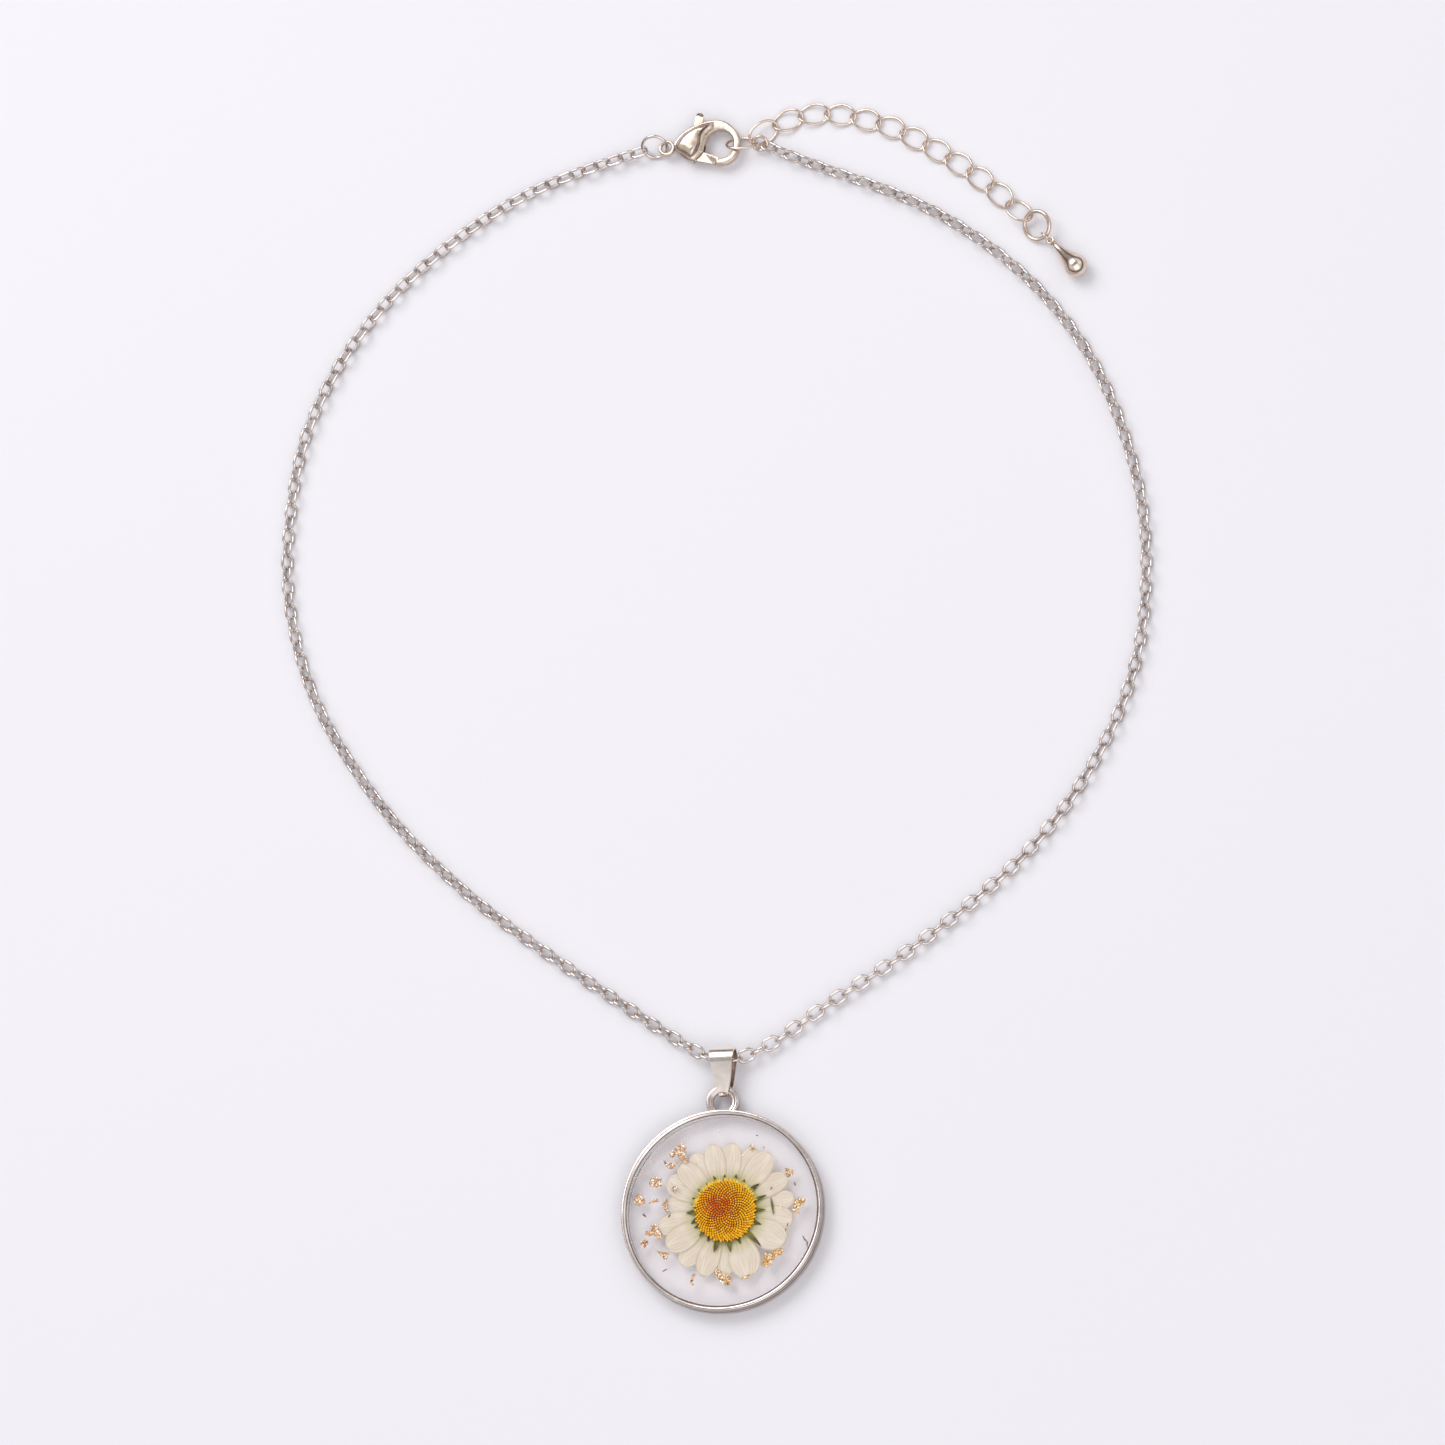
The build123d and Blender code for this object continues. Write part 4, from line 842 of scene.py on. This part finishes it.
def barkMaterial(name, dark, light, scale):
    material, tree, output = newMaterial(name)
    coords = addNode(tree, "ShaderNodeTexCoord")
    grain = addNode(tree, "ShaderNodeTexNoise", {
        "Vector": coords.outputs["Object"], "Scale": scale, "Detail": 4.0})
    base = ramp(tree, grain.outputs[0], ((0.35, dark), (0.65, light)))
    relief = addNode(tree, "ShaderNodeBump", {
        "Strength": 0.4, "Distance": 0.00003, "Height": grain.outputs[0]})
    shader = addNode(tree, "ShaderNodeBsdfPrincipled", {
        "Base Color": base, "Roughness": remap(tree, grain.outputs[0], 0.3, 0.7, 0.6, 0.4),
        "Normal": relief.outputs[0]})
    tree.links.new(shader.outputs[0], output.inputs["Surface"])
    return material


leafOlive = barkMaterial("leafOlive", (0.10, 0.10, 0.02), (0.36, 0.33, 0.07), 1600.0)
finishPiece(sliverShape, "leafSliver", leafOlive, "bract", ("leaf_sliver",), "necklace", 60.0)

# x, y and size in mm, stretch, heading in degrees; heights in mm too
floatHeights = {"chaff": 1.95, "foil": 1.8, "bubbles": 1.9}
chaffBits = [
    (-7.8, -0.5, 0.17, 1.7, 50), (-11.57, -0.28, 0.17, 2.2, 140), (9.8, -2.56, 0.13, 2.4, 60),
    (9.5, -3.25, 0.10, 2.6, 70), (7.4, 2.95, 0.15, 2.0, 60), (10.89, 3.5, 0.16, 1.7, 120),
    (-8.52, -8.56, 0.15, 2.8, 25), (5.26, 10.99, 0.13, 1.5, 0), (2.05, 2.88, 0.22, 2.0, 30),
    (12.20, -4.57, 0.12, 4.0, 115), (12.60, -5.08, 0.12, 4.0, 125), (12.70, -5.62, 0.11, 4.0, 95),
]
goldBits = [
    (3.03, 8.2, 0.17, 1.8, 20), (8.84, 0.32, 0.15, 1.6, 80), (-13.04, 5.47, 0.20, 1.8, 30),
    (-10.49, 7.75, 0.17, 1.5, 0), (-12.06, 5.87, 0.12, 1.8, 10), (-8.53, 1.82, 0.14, 2.2, 70),
    (6.24, 9.19, 0.16, 1.5, 120), (-11.4, 5.9, 0.08, 1.5, 40), (0.6, 7.2, 0.05, 1.3, 10),
]


def scatter(name, bits, height, material, slotName):
    shape = bmesh.new()
    for number, (x, y, size, stretch, heading) in enumerate(bits):
        placing = Matrix.Translation((x * mm, y * mm, (height + 0.05 * (number % 3)) * mm)) \
            @ Matrix.Rotation(math.radians(heading), 4, "Z") @ Matrix.Diagonal((stretch, 0.75, 0.3, 1.0))
        made = bmesh.ops.create_icosphere(shape, subdivisions=2, radius=size * mm, matrix=placing)
        for vert in made["verts"]:
            bump = noise.noise(vert.co / mm * 5.0 + Vector((number, 0, 0)))
            vert.co.x += 0.5 * size * mm * bump
            vert.co.y += 0.5 * size * mm * noise.noise(vert.co / mm * 4.0 + Vector((0, number, 0)))
    finishPiece(shape, name, material, slotName, (), smooth=False)


scatter("chaffBits", chaffBits, floatHeights["chaff"],
        barkMaterial("chaffBrown", (0.12, 0.04, 0.02), (0.34, 0.18, 0.09), 2500.0), "bract")
scatter("foilBits", goldBits, floatHeights["foil"], foilRoseGold, "gold_foil")

airBubbles = [(-1.05, 13.33, 0.10), (-0.49, 12.01, 0.16), (-0.40, 11.72, 0.12), (-0.62, 12.28, 0.06)]
bubbleShape = bmesh.new()
for x, y, size in airBubbles:
    bmesh.ops.create_icosphere(bubbleShape, subdivisions=3, radius=size * mm,
                               matrix=Matrix.Translation((x * mm, y * mm, floatHeights["bubbles"] * mm)))


def bubbleMaterial():
    material, tree, output = newMaterial("bubbleAir")
    coords = addNode(tree, "ShaderNodeTexCoord")
    grain = addNode(tree, "ShaderNodeTexNoise", {
        "Vector": coords.outputs["Object"], "Scale": 3000.0, "Detail": 2.0})
    # painted reflection: the air bubbles are coloured near white, in place of the light they reflect
    base = ramp(tree, grain.outputs[0], ((0.4, (0.93, 0.90, 0.86)), (0.6, (1.0, 0.99, 0.98))))
    shader = addNode(tree, "ShaderNodeBsdfPrincipled", {
        "Base Color": base, "Roughness": remap(tree, grain.outputs[0], 0.3, 0.7, 0.05, 0.15),
        "IOR": 1.5, "Alpha": 0.75})
    tree.links.new(shader.outputs[0], output.inputs["Surface"])
    return material


finishPiece(bubbleShape, "airBubbles", bubbleMaterial(), "resin_clear", (), "necklace", 60.0)
print("bits and bubbles placed")


# Floor, lights and the soft surroundings
studio = {
    "floorSize": 3.0, "floorTone": (0.845, 0.83, 0.875), "floorMottle": (0.87, 0.86, 0.90),
    "aim": (0.0, 0.075, 0.0),
    "key": {"place": (-0.50, 0.69, 0.94), "size": (0.80, 0.80), "power": 6.4},
    "fill": {"place": (0.42, -0.62, 1.05), "size": (1.1, 1.1), "power": 3.9},
    "side": {"place": (1.05, 0.45, 0.75), "size": (0.6, 0.6), "power": 0.4},
    "skyStops": ((0.0, (0.16, 0.145, 0.14)), (0.28, (0.20, 0.185, 0.18)), (0.42, (0.80, 0.79, 0.80)),
                 (0.55, (1.0, 0.99, 1.0)), (0.84, (1.0, 1.0, 1.0)), (0.90, (0.60, 0.60, 0.62)),
                 (0.94, (0.50, 0.50, 0.52)), (1.0, (0.50, 0.50, 0.52))),
    "worldPower": 0.79,
}


def floorMaterial():
    material, tree, output = newMaterial("floorPale")
    coords = addNode(tree, "ShaderNodeTexCoord")
    mottle = addNode(tree, "ShaderNodeTexNoise", {
        "Vector": coords.outputs["Object"], "Scale": 9.0, "Detail": 2.0})
    tint = mixColour(tree, remap(tree, mottle.outputs[0], 0.35, 0.7, 0.0, 0.2), studio["floorTone"],
                     studio["floorMottle"])
    shader = addNode(tree, "ShaderNodeBsdfPrincipled", {
        "Base Color": tint, "Roughness": remap(tree, mottle.outputs[0], 0.3, 0.7, 0.55, 0.65)})
    tree.links.new(shader.outputs[0], output.inputs["Surface"])
    return material


floorShape = bmesh.new()
bmesh.ops.create_grid(floorShape, x_segments=2, y_segments=2, size=studio["floorSize"] / 2)
floorMesh = bpy.data.meshes.new("studioFloor")
floorShape.to_mesh(floorMesh)
floorShape.free()
floorMesh.materials.append(floorMaterial())
studioFloor = bpy.data.objects.new("studioFloor", floorMesh)
collection.objects.link(studioFloor)


def softLight(name, settings):
    data = bpy.data.lights.new(name, "AREA")
    data.shape = "RECTANGLE"
    data.size, data.size_y = settings["size"]
    data.energy = settings["power"]
    light = bpy.data.objects.new(name, data)
    light.location = settings["place"]
    ray = Vector(studio["aim"]) - Vector(settings["place"])
    light.rotation_euler = ray.to_track_quat("-Z", "Y").to_euler()
    collection.objects.link(light)


softLight("keyLight", studio["key"])
softLight("fillLight", studio["fill"])
softLight("sideLight", studio["side"])
world = bpy.data.worlds.new("studioAir")
world.use_nodes = True
tree = world.node_tree
coords = addNode(tree, "ShaderNodeTexCoord")
split = addNode(tree, "ShaderNodeSeparateXYZ", {0: coords.outputs["Generated"]})
sky = ramp(tree, split.outputs[2], studio["skyStops"])
background = tree.nodes["Background"]
tree.links.new(sky, background.inputs[0])
background.inputs[1].default_value = studio["worldPower"]
bpy.context.scene.world = world
print("studio lit")
